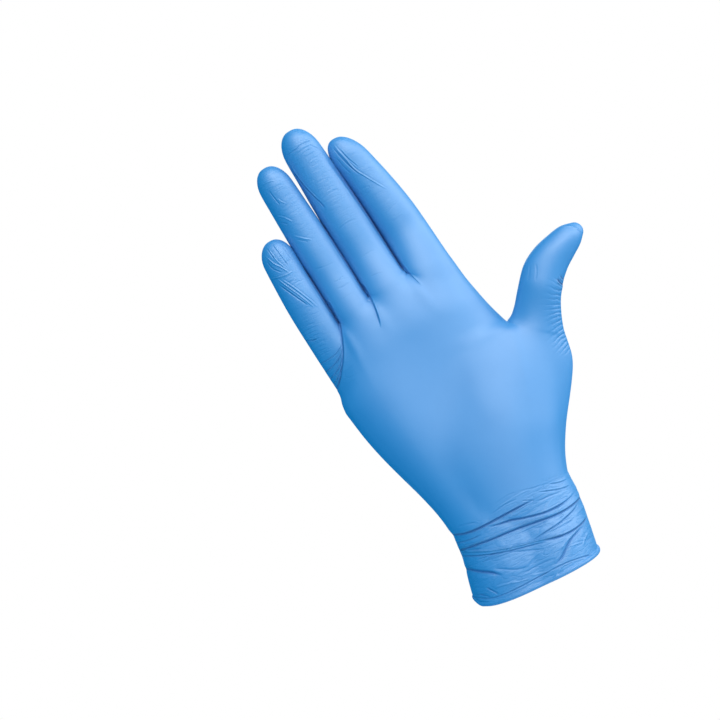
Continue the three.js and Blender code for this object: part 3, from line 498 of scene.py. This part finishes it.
def pathThrough(places, pitch=0.8):
    rows = np.array(places, dtype=float).reshape(-1, 2)
    run = np.linalg.norm(np.diff(rows, axis=0), axis=1).sum()
    steps = max(3, int(run / pitch))
    return np.array([sampleTable(rows, i / steps) for i in range(steps + 1)])


# A fold wider than narrow is also raised in the net, fully from narrow + fade on. Beside a crease deeper than
# stepFrom the film stands higher on one side. The lengths are in millimetres, but spread, lineSpread and far
# are in half widths. Facing and edge are the normal's y, and raised, step, ends, beadShare, edgeShare and
# insideLine are shares.
foldForm = {
    "narrow": 0.45, "fade": 0.3, "raised": 0.5, "spread": 1.5, "stepFrom": -0.6, "step": 0.22,
    "stepReach": 2.6, "lineSpread": 2.2, "far": 4.0, "channels": 3, "room": 1, "slight": 0.35,
    "reach": 5, "ends": 0.25, "facing": (-0.4, 0.15), "bead": (-41.5, -37.5), "beadShare": 0.1,
    "edge": (0.05, 0.5), "edgeShare": 0.3, "insideLine": 0.3,
}


def nearestOnPath(spot, path):  # signed distance, positive on the left of the path, and share along it
    start, way = path[:-1], np.diff(path, axis=0)
    off = spot[:, None, :] - start[None]
    along = np.clip((off * way).sum(axis=2) / (way ** 2).sum(axis=1), 0, 1)
    gap = off - along[..., None] * way
    distance = np.linalg.norm(gap, axis=2)
    best = distance.argmin(axis=1)
    pick = np.arange(len(spot)), best
    turn = np.where(way[best, 0] * gap[pick][:, 1] - way[best, 1] * gap[pick][:, 0] < 0, -1, 1)
    return distance[pick] * turn, (best + along[pick]) / len(way)


def foldAt(place, normal, row):  # the points near one fold, their distance from it and its height there
    side, height, width, opened, places = row
    path = pathThrough(places)
    low, high = path.min(axis=0) - foldForm["reach"], path.max(axis=0) + foldForm["reach"]
    x, z = place[:, 0], place[:, 2]
    around = (x > low[0]) & (x < high[0]) & (z > low[1]) & (z < high[1])
    facing = side * normal[:, 1]
    near = np.flatnonzero(around & (facing > foldForm["facing"][0]))
    gap, share = nearestOnPath(np.stack([x[near], z[near]], axis=1), path)
    strength = height * smoothStep(facing[near], *foldForm["facing"])
    if "start" not in opened:
        strength *= smoothStep(share, 0, foldForm["ends"])
    if "end" not in opened:
        strength *= 1 - smoothStep(share, 1 - foldForm["ends"], 1)
    return near, gap, strength


# Small folds laid at random from a seed. Places, half lengths, heights and widths are in millimetres.
puckers = {
    "seed": 5, "pitch": 1.9,
    "cuff": {"count": 70, "x": (-36, 26), "z": (-37, 3), "half": (2.5, 9), "slope": (-0.2, 0.12),
             "height": (0.12, 0.34), "sunk": 0.65, "width": (0.45, 0.7), "bend": 0.5},
    "fingers": {"count": 84, "share": (0.06, 0.9), "aside": 4, "half": (2, 4.5), "slope": (0, 0.2),
                "height": (0.06, 0.16), "width": 0.5, "bend": 0.4},
    "joints": {"shares": (0.3, 0.66), "count": 5, "half": 5.5, "bend": (0.2, 0.8), "height": -0.32,
               "less": 0.06, "width": 0.5},
    "littleSide": {"count": 9, "from": 105, "height": -0.2, "width": 0.42, "x": (-46, -41, -37)},
}


def shortFold(side, height, width, x, z, half, slope, middle):
    return side, height, width, "", (x - half, z - half * slope, x, middle, x + half, z + half * slope)


def puckerRows():
    rng = np.random.default_rng(puckers["seed"])
    rows = []
    these = puckers["cuff"]
    for i in range(these["count"]):  # short gathers across the cuff
        x, z = rng.uniform(*these["x"]), rng.uniform(*these["z"])
        half, slope = rng.uniform(*these["half"]), rng.normal(*these["slope"])
        height = rng.uniform(*these["height"]) * (-1 if rng.random() < these["sunk"] else 1)
        side = 1 if i % 2 else -1
        width, middle = rng.uniform(*these["width"]), z + rng.uniform(-these["bend"], these["bend"])
        rows.append(shortFold(side, height, width, x, z, half, slope, middle))
    these = puckers["fingers"]
    for i in range(these["count"]):  # fine lines across the fingers, mostly on the back
        finger = fingers[i % 4]
        share = rng.uniform(*these["share"])
        x = knuckles * mix(finger["root"], finger["tip"], share)
        x += rng.uniform(-these["aside"], these["aside"])
        z = palm - finger["drop"] + finger["length"] * share
        half, slope = rng.uniform(*these["half"]), rng.normal(*these["slope"])
        side = -1 if i % 5 == 0 else 1
        height = -rng.uniform(*these["height"])
        rows.append(shortFold(side, height, these["width"], x, z, half, slope, z + these["bend"]))
    these = puckers["joints"]
    for finger in fingers[1:]:  # creases over the joints at the back
        for joint in these["shares"]:
            for k in range(these["count"]):
                off = k - these["count"] // 2
                share = joint + off * puckers["pitch"] / finger["length"]
                x = knuckles * mix(finger["root"], finger["tip"], share)
                z = palm + finger["length"] * share
                bend = rng.uniform(*these["bend"]) * off * 0.4
                height, half = these["height"] + these["less"] * abs(off), these["half"] - abs(off)
                rows.append(shortFold(1, height, these["width"], x, z - bend, half, 0, z + bend))
    these = puckers["littleSide"]
    left, middle, right = these["x"]
    for k in range(these["count"]):  # fine lines on the little finger's outer side
        z = these["from"] + puckers["pitch"] * k
        places = (left, z + rng.uniform(-0.4, 0.4), middle, z, right + rng.uniform(-1, 1.5), z - 0.4)
        rows.append((-1, these["height"], these["width"], "start", places))
    return rows


# Where the film is loose it is uneven: the waves' count, length, share along x, y and z, height, and the z
# that they lie between.
looseWaves = {"seed": 3, "count": 14, "length": (6, 15), "way": (0.5, 0.7, 1.3), "height": 0.07,
              "below": (-8, 3), "above": (-39.5, -33)}


def waviness(place):  # soft unevenness of the loose film, from seeded waves
    rng = np.random.default_rng(looseWaves["seed"])
    total = np.zeros(len(place))
    for _ in range(looseWaves["count"]):
        length = rng.uniform(*looseWaves["length"])
        way = rng.normal(size=3) * looseWaves["way"]
        way *= 2 * math.pi / length / np.linalg.norm(way)
        total += np.sin(place @ way + rng.uniform(0, 6.3))
    z = place[:, 2]
    total *= (1 - smoothStep(z, *looseWaves["below"])) * smoothStep(z, *looseWaves["above"])
    return total / math.sqrt(looseWaves["count"]) * looseWaves["height"]


# Where two fingers touch, a line of bump and painted shade, not raised in the net: how deep it is drawn, its
# half width, and how far up it goes.
fingerGapShade = [(-0.7, 0.6, 0.62), (-0.7, 0.6, 0.62), (-1.0, 0.9, 0.8)]


# Lines of painted shade and bump between neighbouring fingers, on both faces of the film.
def gapShadeRows():
    rows = []
    for (height, width, reach), left, right in zip(fingerGapShade, fingers, fingers[1:]):
        top = mix(palm, palm - left["drop"] + left["length"], reach)
        places = []
        for z in np.linspace(palm + 4, top, 7):
            sides = []
            for finger, way in ((left, 1), (right, -1)):
                share = (z - palm + finger["drop"]) / finger["length"]
                middle = knuckles * mix(finger["root"], finger["tip"], share)
                middle += finger["bow"] * finger["length"] * 4 * share * (1 - share)
                sides.append(middle + way * finger["width"] * glove["fingerWidth"] / 2)
            places += [sum(sides) / 2, z]
        rows += [(side, height, width, "start", tuple(places)) for side in (-1, 1)]
    return rows


palmFolds = [(-1, *row) for row in littleFolds + fingerFolds + thumbFolds]
allFolds = cuffFolds + palmFolds + puckerRows()
gapShadeLines = gapShadeRows()


def spreadFolds(rows):  # neighbouring folds go to different channels of the surface's line values
    members = [[] for _ in range(foldForm["channels"])]
    chosen = []
    for row in rows:
        path = pathThrough(row[4], 2)
        room = []
        for group in members:
            beside = [other for other, side in group if side == row[0]]
            gaps = [np.linalg.norm(path[:, None] - other, axis=2).min() for other in beside]
            room.append(min(gaps, default=99))
        best = int(np.argmax(room))
        if room[best] < foldForm["room"] and abs(row[1]) < foldForm["slight"]:
            best = None  # a slight fold gives way to the others
        else:
            members[best].append((path, row[0]))
        chosen.append(best)
    return chosen


def raiseFolds(place, normal):  # the folds' broad forms move the points, their fine lines are kept as values
    lift, shape = np.zeros(len(place)), (len(place), foldForm["channels"])
    lineGap, lineDepth = np.full(shape, foldForm["far"]), np.zeros(shape)
    for row, channel in zip(allFolds + gapShadeLines, foldChannels):
        if channel is None:
            continue
        near, gap, strength = foldAt(place, normal, row)
        width = row[2]
        away = gap / width
        if row not in gapShadeLines:
            broad = np.clip((width - foldForm["narrow"]) / foldForm["fade"], 0, 1)
            lift[near] += strength * broad * foldForm["raised"] * np.exp(-(away / foldForm["spread"]) ** 2)
            if row[1] < foldForm["stepFrom"]:
                step = foldForm["step"] * np.tanh(away) * np.exp(-(gap / foldForm["stepReach"]) ** 2)
                lift[near] -= strength * step
        depth = strength * np.exp(-(away / foldForm["lineSpread"]) ** 2)
        deeper = np.abs(depth) > np.abs(lineDepth[near, channel])
        lineGap[near[deeper], channel] = away[deeper]
        lineDepth[near[deeper], channel] = depth[deeper]
    lift += waviness(place)
    lift *= mix(foldForm["beadShare"], 1, smoothStep(place[:, 2], *foldForm["bead"]))
    lift *= mix(foldForm["edgeShare"], 1, smoothStep(np.abs(normal[:, 1]), *foldForm["edge"]))
    return place + normal * lift[:, None], lift, lineGap, lineDepth


def ripplesAt(place):  # run along the thumb's outer side and how strong the ripples are there
    path = pathThrough(rippleEdge["line"], 0.5)
    run = np.linalg.norm(np.diff(path, axis=0), axis=1).sum()
    gap, share = nearestOnPath(place[:, [0, 2]], path)
    inward = np.clip(gap, 0, 20)
    lean = mix(rippleEdge["lower"], rippleEdge["upper"], share)
    mask = np.exp(-(inward / rippleEdge["reach"]) ** 2) * (place[:, 0] > rippleEdge["fromX"])
    mask *= smoothStep(share, *rippleEdge["start"]) * (1 - smoothStep(share, *rippleEdge["end"]))
    return run * share + inward * lean, mask


# Where the film is loose, in millimetres along x or z: cuff, little finger's side and finger ends.
slackAreas = {"cuff": (-3, 6), "littleX": (-37, -28), "littleZ": (80, 92), "ends": (118, 185), "share": 0.6}


def slackAt(place):
    x, z = place[:, 0], place[:, 2]
    slack = 1 - smoothStep(z, *slackAreas["cuff"])
    little = (1 - smoothStep(x, *slackAreas["littleX"])) * smoothStep(z, *slackAreas["littleZ"])
    little *= slackAreas["share"]
    ends = smoothStep(z, *slackAreas["ends"]) * slackAreas["share"]
    return np.clip(np.maximum.reduce([slack, little, ends]), 0, 1)


# Where and how much the depth is eased. The first rounds keep the forms' height, the later ones flatten
# what is left round the fork. Places and reaches are in millimetres.
easing = {
    "rootsFrom": (88, 100), "rootsTo": (124, 134), "ballFrom": (6, 16), "ballShare": 0.8,
    "forkX": 42, "forkZ": 56, "forkReachX": 34, "forkReachZ": 36, "forkFull": 0.4,
    "keeping": {"rounds": 12, "steps": (0.6, -0.3)}, "flattening": {"rounds": 34, "steps": (0.5,)},
}


def softenForms(place, faces):  # eases the depth where the fingers and the thumb leave the palm
    sides = np.array([(f[i], f[(i + 1) % 4]) for f in faces for i in range(4)])
    weight = 1 / (np.linalg.norm(place[sides[:, 0]] - place[sides[:, 1]], axis=1) + 0.5)
    total = np.zeros(len(place))
    np.add.at(total, sides[:, 0], weight)
    np.add.at(total, sides[:, 1], weight)
    x, z = place[:, 0], place[:, 2]
    roots = smoothStep(z, *easing["rootsFrom"]) * (1 - smoothStep(z, *easing["rootsTo"]))
    ball = easing["ballShare"] * smoothStep(z, *easing["ballFrom"])
    ball *= 1 - smoothStep(z, *easing["rootsFrom"])
    off = np.hypot((x - easing["forkX"]) / easing["forkReachX"], (z - easing["forkZ"]) / easing["forkReachZ"])
    fork = 1 - smoothStep(off, easing["forkFull"], 1)
    inside = np.abs(place[:, 1]) > 0.5
    depth = place[:, 1].copy()
    for ease, way in ((np.maximum(roots, ball), easing["keeping"]), (fork, easing["flattening"])):
        for _ in range(way["rounds"]):
            for step in way["steps"]:
                near = np.zeros(len(place))
                np.add.at(near, sides[:, 0], weight * depth[sides[:, 1]])
                np.add.at(near, sides[:, 1], weight * depth[sides[:, 0]])
                depth += step * ease * inside * (near / total - depth)
    return np.stack([x, depth, z], axis=1)


print("laying the net")
mouth = layNet()
filmQuads = len(quads)
filmPoints = len(points)
addBead(mouth)
target = softenForms(np.array(points), quads)
outerCage = fitNet(target, quads)
outer, outerFaces, outerNormals = smoothNet(outerCage, quads, 2)
inner, innerFaces, innerNormals = smoothNet(outerCage[:filmPoints], quads[:filmQuads], 1)
print("raising the folds")
foldChannels = spreadFolds(allFolds + gapShadeLines)
outer, outerLift, outerGap, outerDepth = raiseFolds(outer, outerNormals)
inner, innerLift, innerGap, innerDepth = raiseFolds(inner, innerNormals)
inner = inner - innerNormals * glove["filmWall"]
print("outer faces", len(outerFaces), "inner faces", len(innerFaces))


def setNumbers(mesh, name, values):
    numbers = np.asarray(values, dtype=np.float32)
    mesh.attributes.new(name, "FLOAT", "POINT").data.foreach_set("value", numbers)


def buildFilm(materials):
    faces = [tuple(f) for f in outerFaces.tolist()]
    faces += [tuple(i + len(outer) for i in reversed(f)) for f in innerFaces.tolist()]
    mesh = bpy.data.meshes.new("gloveFilm")
    mesh.from_pydata((np.concatenate([outer, inner]) * 0.001).tolist(), [], faces)
    mesh.polygons.foreach_set("material_index", [0] * len(outerFaces) + [1] * len(innerFaces))
    mesh.polygons.foreach_set("use_smooth", [True] * len(faces))
    setNumbers(mesh, "fold", np.concatenate([outerLift, innerLift]))
    setNumbers(mesh, "slack", np.concatenate([slackAt(outer), slackAt(inner)]))
    for name, values in zip(("rippleRun", "rippleMask"), ripplesAt(np.concatenate([outer, inner]))):
        setNumbers(mesh, name, values)
    depths = outerDepth, innerDepth * foldForm["insideLine"]
    for name, values in (("lineGap", (outerGap, innerGap)), ("lineDepth", depths)):
        rows = np.concatenate(values).astype(np.float32)
        mesh.attributes.new(name, "FLOAT_VECTOR", "POINT").data.foreach_set("vector", rows.ravel())
    for material in materials:
        mesh.materials.append(material)
    # The two sides are joined where the bead has rolled back to the film.
    bm = bmesh.new()
    bm.from_mesh(mesh)
    rims = [edge for edge in bm.edges if len(edge.link_faces) == 1]
    for face in bmesh.ops.bridge_loops(bm, edges=rims)["faces"]:
        face.smooth = True
        face.material_index = 1
    bm.to_mesh(mesh)
    bm.free()
    film = bpy.data.objects.new("gloveFilm", mesh)
    bpy.context.scene.collection.objects.link(film)
    return film


# The film's finish outside and inside: its colours, the darkest of them painted as shade in the creases, how
# cloudy they are, how strongly lines, wrinkles and grain show, and its gloss.
filmFinish = {
    "outside": {"Crease Blue": (0.0, 0.11, 0.41, 1), "Deep Blue": (0.012, 0.19, 0.47, 1),
                "Film Blue": (0.08, 0.34, 0.66, 1), "Cloud": 0.3, "Line": 0.5, "Wrinkle": 0.09,
                "Grain": 0.012, "Gloss Change": 0.08, "Base Roughness": 0.56},
    "inside": {"Crease Blue": (0.001, 0.04, 0.22, 1), "Deep Blue": (0.03, 0.15, 0.38, 1),
               "Film Blue": (0.08, 0.26, 0.5, 1), "Cloud": 0.25, "Line": 0.3, "Wrinkle": 0.05,
               "Grain": 0.012, "Gloss Change": 0.08, "Base Roughness": 0.6},
    "ior": 1.98,
    "specular": {"outside": 1.0, "inside": 0.7},
    "bump": 0.001,
}
# Each noise's scale, detail and roughness, and how lines, ripples, loose film, colour and the painted shade
# in dips, valleys and creases come of them.
# Distances from a line are in its half widths, and the ripples' pitch is in millimetres.
filmGrain = {
    "noises": {"uneven": (260, 2, 0.5), "broken": (420, 1, 0.5), "gathers": (300, 2, 0.5),
               "broad": (130, 2, 0.5), "pores": (2600, 2, 0.6), "skin": (900, 2, 0.6), "cloud": (55, 4, 0.6)},
    "stretch": (0.35, 0.6, 1.5), "turn": (0, 0.12, 0),
    "lineFall": -2.2, "lipAt": 1.5, "lipFall": -2.0, "lipShare": 0.45,
    "ripplePitch": 1.9, "rippleSway": 5.0, "rippleSharp": 2.2, "rippleLeast": 0.35, "rippleShare": 0.55,
    "valleyEdge": 9, "valleySharp": 1.6, "broadShare": 3.5,
    "shade": 0.4, "dipShadeShare": -0.35, "valleyShadeShare": 0.12,
    "creaseSharp": 1.2, "creaseShadeShare": 0.75, "creaseDull": 0.5,
}


def filmSurfaceGroup():
    group = bpy.data.node_groups.new("filmSurface", "ShaderNodeTree")
    sockets = {"Slack": "Float", "Fold": "Float", "Ripple Run": "Float", "Ripple Mask": "Float",
               "Line Gap": "Vector", "Line Depth": "Vector"}
    sockets.update({name: "Color" if name.endswith("Blue") else "Float" for name in filmFinish["outside"]})
    for name, kind in sockets.items():
        group.interface.new_socket(name=name, in_out="INPUT", socket_type="NodeSocket" + kind)
    for name, kind in (("Color", "Color"), ("Roughness", "Float"), ("Height", "Float")):
        group.interface.new_socket(name=name, in_out="OUTPUT", socket_type="NodeSocket" + kind)
    nodes, links = group.nodes, group.links
    given, made = nodes.new("NodeGroupInput"), nodes.new("NodeGroupOutput")

    def sums(kind, a, b=None, clamp=False):
        node = nodes.new("ShaderNodeMath")
        node.operation, node.use_clamp = kind, clamp
        for socket, value in zip(node.inputs, (a, b)):
            if value is None:
                continue
            if isinstance(value, (int, float)):
                socket.default_value = value
            else:
                links.new(value, socket)
        return node.outputs[0]

    def noise(coordinate, name):
        node = nodes.new("ShaderNodeTexNoise")
        links.new(coordinate, node.inputs["Vector"])
        for socket, value in zip(("Scale", "Detail", "Roughness"), filmGrain["noises"][name]):
            node.inputs[socket].default_value = value
        return node.outputs["Fac"]

    def bell(distance, fall):  # 1 on the line, fading away beside it
        return sums("POWER", 2.718, sums("MULTIPLY", sums("MULTIPLY", distance, distance), fall))

    def blend(factor, a, b):
        node = nodes.new("ShaderNodeMix")
        node.data_type = "RGBA"
        links.new(factor, node.inputs["Factor"])
        links.new(a, node.inputs["A"])
        links.new(b, node.inputs["B"])
        return node.outputs["Result"]

    place = nodes.new("ShaderNodeTexCoord").outputs["Object"]
    stretched = nodes.new("ShaderNodeMapping")
    stretched.inputs["Scale"].default_value = filmGrain["stretch"]
    stretched.inputs["Rotation"].default_value = filmGrain["turn"]
    links.new(place, stretched.inputs["Vector"])

    # Fine lines: each channel holds the distance from its nearest fold and that fold's height.
    gaps, depths = nodes.new("ShaderNodeSeparateXYZ"), nodes.new("ShaderNodeSeparateXYZ")
    links.new(given.outputs["Line Gap"], gaps.inputs[0])
    links.new(given.outputs["Line Depth"], depths.inputs[0])
    lines = None
    for gap, depth in zip(gaps.outputs, depths.outputs):
        core = bell(gap, filmGrain["lineFall"])
        lip = bell(sums("SUBTRACT", gap, filmGrain["lipAt"]), filmGrain["lipFall"])
        line = sums("MULTIPLY", sums("SUBTRACT", core, sums("MULTIPLY", lip, filmGrain["lipShare"])), depth)
        lines = line if lines is None else sums("ADD", lines, line)
    dark = sums("MULTIPLY", lines, -1.0, clamp=True)

    # Ripples: valleys across the run, a little uneven.
    phase = sums("MULTIPLY", given.outputs["Ripple Run"], 2 * math.pi / filmGrain["ripplePitch"])
    phase = sums("ADD", phase, sums("MULTIPLY", noise(place, "uneven"), filmGrain["rippleSway"]))
    wave = sums("MULTIPLY", sums("ADD", sums("SINE", phase), 1.0), 0.5)
    broken = sums("ADD", noise(place, "broken"), filmGrain["rippleLeast"])
    strong = sums("MULTIPLY", given.outputs["Ripple Mask"], broken)
    ripple = sums("MULTIPLY", sums("POWER", wave, filmGrain["rippleSharp"]), strong)

    # Loose film: thin valleys of a stretched noise, and softer unevenness.
    off = sums("ABSOLUTE", sums("SUBTRACT", noise(stretched.outputs["Vector"], "gathers"), 0.5))
    valley = sums("SUBTRACT", 1, sums("MULTIPLY", off, filmGrain["valleyEdge"]), clamp=True)
    looseValley = sums("MULTIPLY", sums("POWER", valley, filmGrain["valleySharp"]), given.outputs["Slack"])
    broad = sums("SUBTRACT", noise(stretched.outputs["Vector"], "broad"), 0.5)
    broadLoose = sums("MULTIPLY", broad, given.outputs["Slack"])
    wrinkles = sums("SUBTRACT", sums("MULTIPLY", broadLoose, filmGrain["broadShare"]), looseValley)
    wrinkles = sums("MULTIPLY", wrinkles, given.outputs["Wrinkle"])
    grain = sums("ADD", noise(place, "pores"), noise(place, "skin"))
    grain = sums("MULTIPLY", grain, given.outputs["Grain"])
    drawn = sums("SUBTRACT", lines, sums("MULTIPLY", ripple, filmGrain["rippleShare"]))
    drawn = sums("MULTIPLY", drawn, given.outputs["Line"])
    links.new(sums("ADD", sums("ADD", wrinkles, grain), drawn), made.inputs["Height"])

    # Colour: a little cloudy, with painted shade that deepens it where the film dips and in the loose valleys
    # and ripples, and painted dark shade in the creases.
    cloud = sums("SUBTRACT", noise(place, "cloud"), 0.5)
    cloudy = sums("MULTIPLY", cloud, given.outputs["Cloud"])
    # Painted shade: the colour deepens where the film's fold sinks it.
    paintedDipShade = sums("MULTIPLY", given.outputs["Fold"], filmGrain["dipShadeShare"], clamp=True)
    shade = sums("ADD", sums("ADD", filmGrain["shade"], cloudy), paintedDipShade)
    # Painted shade in the valleys of the loose film and of the ripples.
    paintedValleyShade = sums("MULTIPLY", sums("ADD", looseValley, ripple), filmGrain["valleyShadeShare"])
    shade = sums("ADD", shade, paintedValleyShade, clamp=True)
    body = blend(shade, given.outputs["Film Blue"], given.outputs["Deep Blue"])
    # Painted shade in the creases: the colour goes towards the darkest blue along the fold lines.
    paintedCreaseShade = sums("POWER", dark, filmGrain["creaseSharp"])
    paintedCreaseShade = sums("MULTIPLY", paintedCreaseShade, filmGrain["creaseShadeShare"], clamp=True)
    links.new(blend(paintedCreaseShade, body, given.outputs["Crease Blue"]), made.inputs["Color"])

    # Gloss: a little uneven, and dull in the creases.
    glossy = sums("MULTIPLY", cloud, given.outputs["Gloss Change"])
    dull = sums("ADD", given.outputs["Base Roughness"], sums("MULTIPLY", paintedCreaseShade, filmGrain["creaseDull"]))
    links.new(sums("ADD", dull, glossy, clamp=True), made.inputs["Roughness"])
    return group


def filmMaterial(name, side, group):
    material = bpy.data.materials.new(name)
    material.use_nodes = True
    nodes, links = material.node_tree.nodes, material.node_tree.links
    shader = nodes["Principled BSDF"]
    surface = nodes.new("ShaderNodeGroup")
    surface.node_tree = group
    for key, value in filmFinish[side].items():
        surface.inputs[key].default_value = value
    for key in ("Slack", "Fold", "Ripple Run", "Ripple Mask", "Line Gap", "Line Depth"):
        name = key[0].lower() + key[1:].replace(" ", "")
        attribute = nodes.new("ShaderNodeAttribute")
        attribute.attribute_name = name
        links.new(attribute.outputs["Vector" if name.startswith("line") else "Fac"], surface.inputs[key])
    bump = nodes.new("ShaderNodeBump")
    bump.inputs["Distance"].default_value = filmFinish["bump"]
    bump.inputs["Strength"].default_value = 1.0
    links.new(surface.outputs["Height"], bump.inputs["Height"])
    links.new(bump.outputs["Normal"], shader.inputs["Normal"])
    links.new(surface.outputs["Color"], shader.inputs["Base Color"])
    links.new(surface.outputs["Roughness"], shader.inputs["Roughness"])
    shader.inputs["Specular IOR Level"].default_value = filmFinish["specular"][side]
    shader.inputs["IOR"].default_value = filmFinish["ior"]
    return material


print("materials")
surfaceGroup = filmSurfaceGroup()
nitrileFilm = filmMaterial("nitrileFilm", "outside", surfaceGroup)
nitrileInside = filmMaterial("nitrileInside", "inside", surfaceGroup)
film = buildFilm([nitrileFilm, nitrileInside])
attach(film, "root")
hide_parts("glove")

# The floor lies below the glove and fades out into the white round it.
floorSetup = {"height": -0.2, "radius": 0.9, "fadeFrom": 0.1, "fadeTo": 0.34, "colour": (0.93, 0.93, 0.94, 1),
              "warm": (1.0, 0.36, 0.02, 1), "warmth": 0.45}


def buildFloor():
    mesh = bpy.data.meshes.new("floor")
    bm = bmesh.new()
    bmesh.ops.create_circle(bm, cap_ends=True, radius=floorSetup["radius"], segments=96)
    for vertex in bm.verts:
        vertex.co.z = floorSetup["height"]
    bm.to_mesh(mesh)
    bm.free()
    floor = bpy.data.objects.new("floor", mesh)
    bpy.context.scene.collection.objects.link(floor)
    material = bpy.data.materials.new("paleFloor")
    material.use_nodes = True
    nodes, links = material.node_tree.nodes, material.node_tree.links
    shader, out = nodes["Principled BSDF"], nodes["Material Output"]
    shader.inputs["Roughness"].default_value = 0.9
    shader.inputs["Base Color"].default_value = floorSetup["colour"]
    # What the camera sees of it is warmed, so that the blue room leaves it plain and pale.
    shader.inputs["Emission Color"].default_value = floorSetup["warm"]
    path, warm = nodes.new("ShaderNodeLightPath"), nodes.new("ShaderNodeMath")
    warm.operation = "MULTIPLY"
    warm.inputs[1].default_value = floorSetup["warmth"]
    links.new(path.outputs["Is Camera Ray"], warm.inputs[0])
    links.new(warm.outputs["Value"], shader.inputs["Emission Strength"])
    flat, length = nodes.new("ShaderNodeVectorMath"), nodes.new("ShaderNodeVectorMath")
    flat.operation, length.operation = "MULTIPLY", "LENGTH"
    flat.inputs[1].default_value = (1, 1, 0)
    fade, most = nodes.new("ShaderNodeMapRange"), nodes.new("ShaderNodeMath")
    fade.interpolation_type, most.operation = "SMOOTHSTEP", "MAXIMUM"
    fade.inputs["From Min"].default_value = floorSetup["fadeFrom"]
    fade.inputs["From Max"].default_value = floorSetup["fadeTo"]
    either = nodes.new("ShaderNodeMixShader")
    links.new(nodes.new("ShaderNodeTexCoord").outputs["Object"], flat.inputs[0])
    links.new(flat.outputs["Vector"], length.inputs[0])
    links.new(length.outputs["Value"], fade.inputs["Value"])
    links.new(fade.outputs["Result"], most.inputs[0])
    links.new(nodes.new("ShaderNodeNewGeometry").outputs["Backfacing"], most.inputs[1])
    links.new(most.outputs["Value"], either.inputs["Fac"])
    links.new(shader.outputs["BSDF"], either.inputs[1])
    links.new(nodes.new("ShaderNodeBsdfTransparent").outputs["BSDF"], either.inputs[2])
    links.new(either.outputs["Shader"], out.inputs["Surface"])
    mesh.materials.append(material)
    return floor


buildFloor()

# Soft light from the thumb's side above, from beside the thumb, from the front and from behind, in a room
# of soft blue light.
studio = {
    "target": (-0.0274, 0.0, 0.0938),
    "lamps": {
        "keyLight": {"place": (0.5, -0.9, 0.95), "size": 1.1, "power": 8.0},
        "besideLight": {"place": (1.3, -0.45, 0.3), "size": 1.2, "power": 6.0},
        "edgeLight": {"place": (1.45, 0.05, 0.25), "size": 1.2, "power": 4.6},
        "backLight": {"place": (0.3, 1.8, 0.6), "size": 1.4, "power": 9.0},
        "frontLight": {"place": (0.25, -1.9, 0.6), "size": 1.5, "power": 8.2},
    },
    "room": {"colour": (0.004, 0.55, 1.0, 1), "strength": 0.64},
}


def addLight(name, place, size, power):
    light = bpy.data.lights.new(name, "AREA")
    light.shape, light.size, light.energy = "SQUARE", size, power
    lamp = bpy.data.objects.new(name, light)
    lamp.location = place
    lamp.rotation_euler = (Vector(studio["target"]) - Vector(place)).to_track_quat("-Z", "Y").to_euler()
    bpy.context.scene.collection.objects.link(lamp)


def buildRoom():
    world = bpy.data.worlds.new("room")
    world.use_nodes = True
    nodes, links = world.node_tree.nodes, world.node_tree.links
    dim, seen = nodes["Background"], nodes.new("ShaderNodeBackground")
    dim.inputs["Color"].default_value = studio["room"]["colour"]
    dim.inputs["Strength"].default_value = studio["room"]["strength"]
    seen.inputs["Color"].default_value = (1, 1, 1, 1)
    path, either = nodes.new("ShaderNodeLightPath"), nodes.new("ShaderNodeMixShader")
    links.new(path.outputs["Is Camera Ray"], either.inputs["Fac"])
    links.new(dim.outputs["Background"], either.inputs[1])
    links.new(seen.outputs["Background"], either.inputs[2])
    links.new(either.outputs["Shader"], nodes["World Output"].inputs["Surface"])
    bpy.context.scene.world = world


print("lights and camera")
for name, lamp in studio["lamps"].items():
    addLight(name, **lamp)
buildRoom()
bpy.context.scene.view_settings.view_transform = "Standard"

# The camera looks along +Y, level, turned about its own axis as in the photograph.
cameraSetup = {"distance": 1.4, "lens": 148.4, "right": (0.8616, 0.0, -0.5075)}
cameraData = bpy.data.cameras.new("camera")
cameraData.lens, cameraData.sensor_width = cameraSetup["lens"], 36.0
camera = bpy.data.objects.new("camera", cameraData)
right, back = Vector(cameraSetup["right"]).normalized(), Vector((0, -1, 0))
up = back.cross(right)
turn = Matrix((right, up, back)).transposed().to_4x4()
place = Vector(studio["target"]) + back * cameraSetup["distance"]
camera.matrix_world = Matrix.Translation(place) @ turn
bpy.context.scene.collection.objects.link(camera)
bpy.context.scene.camera = camera

bpy.context.view_layer.update()
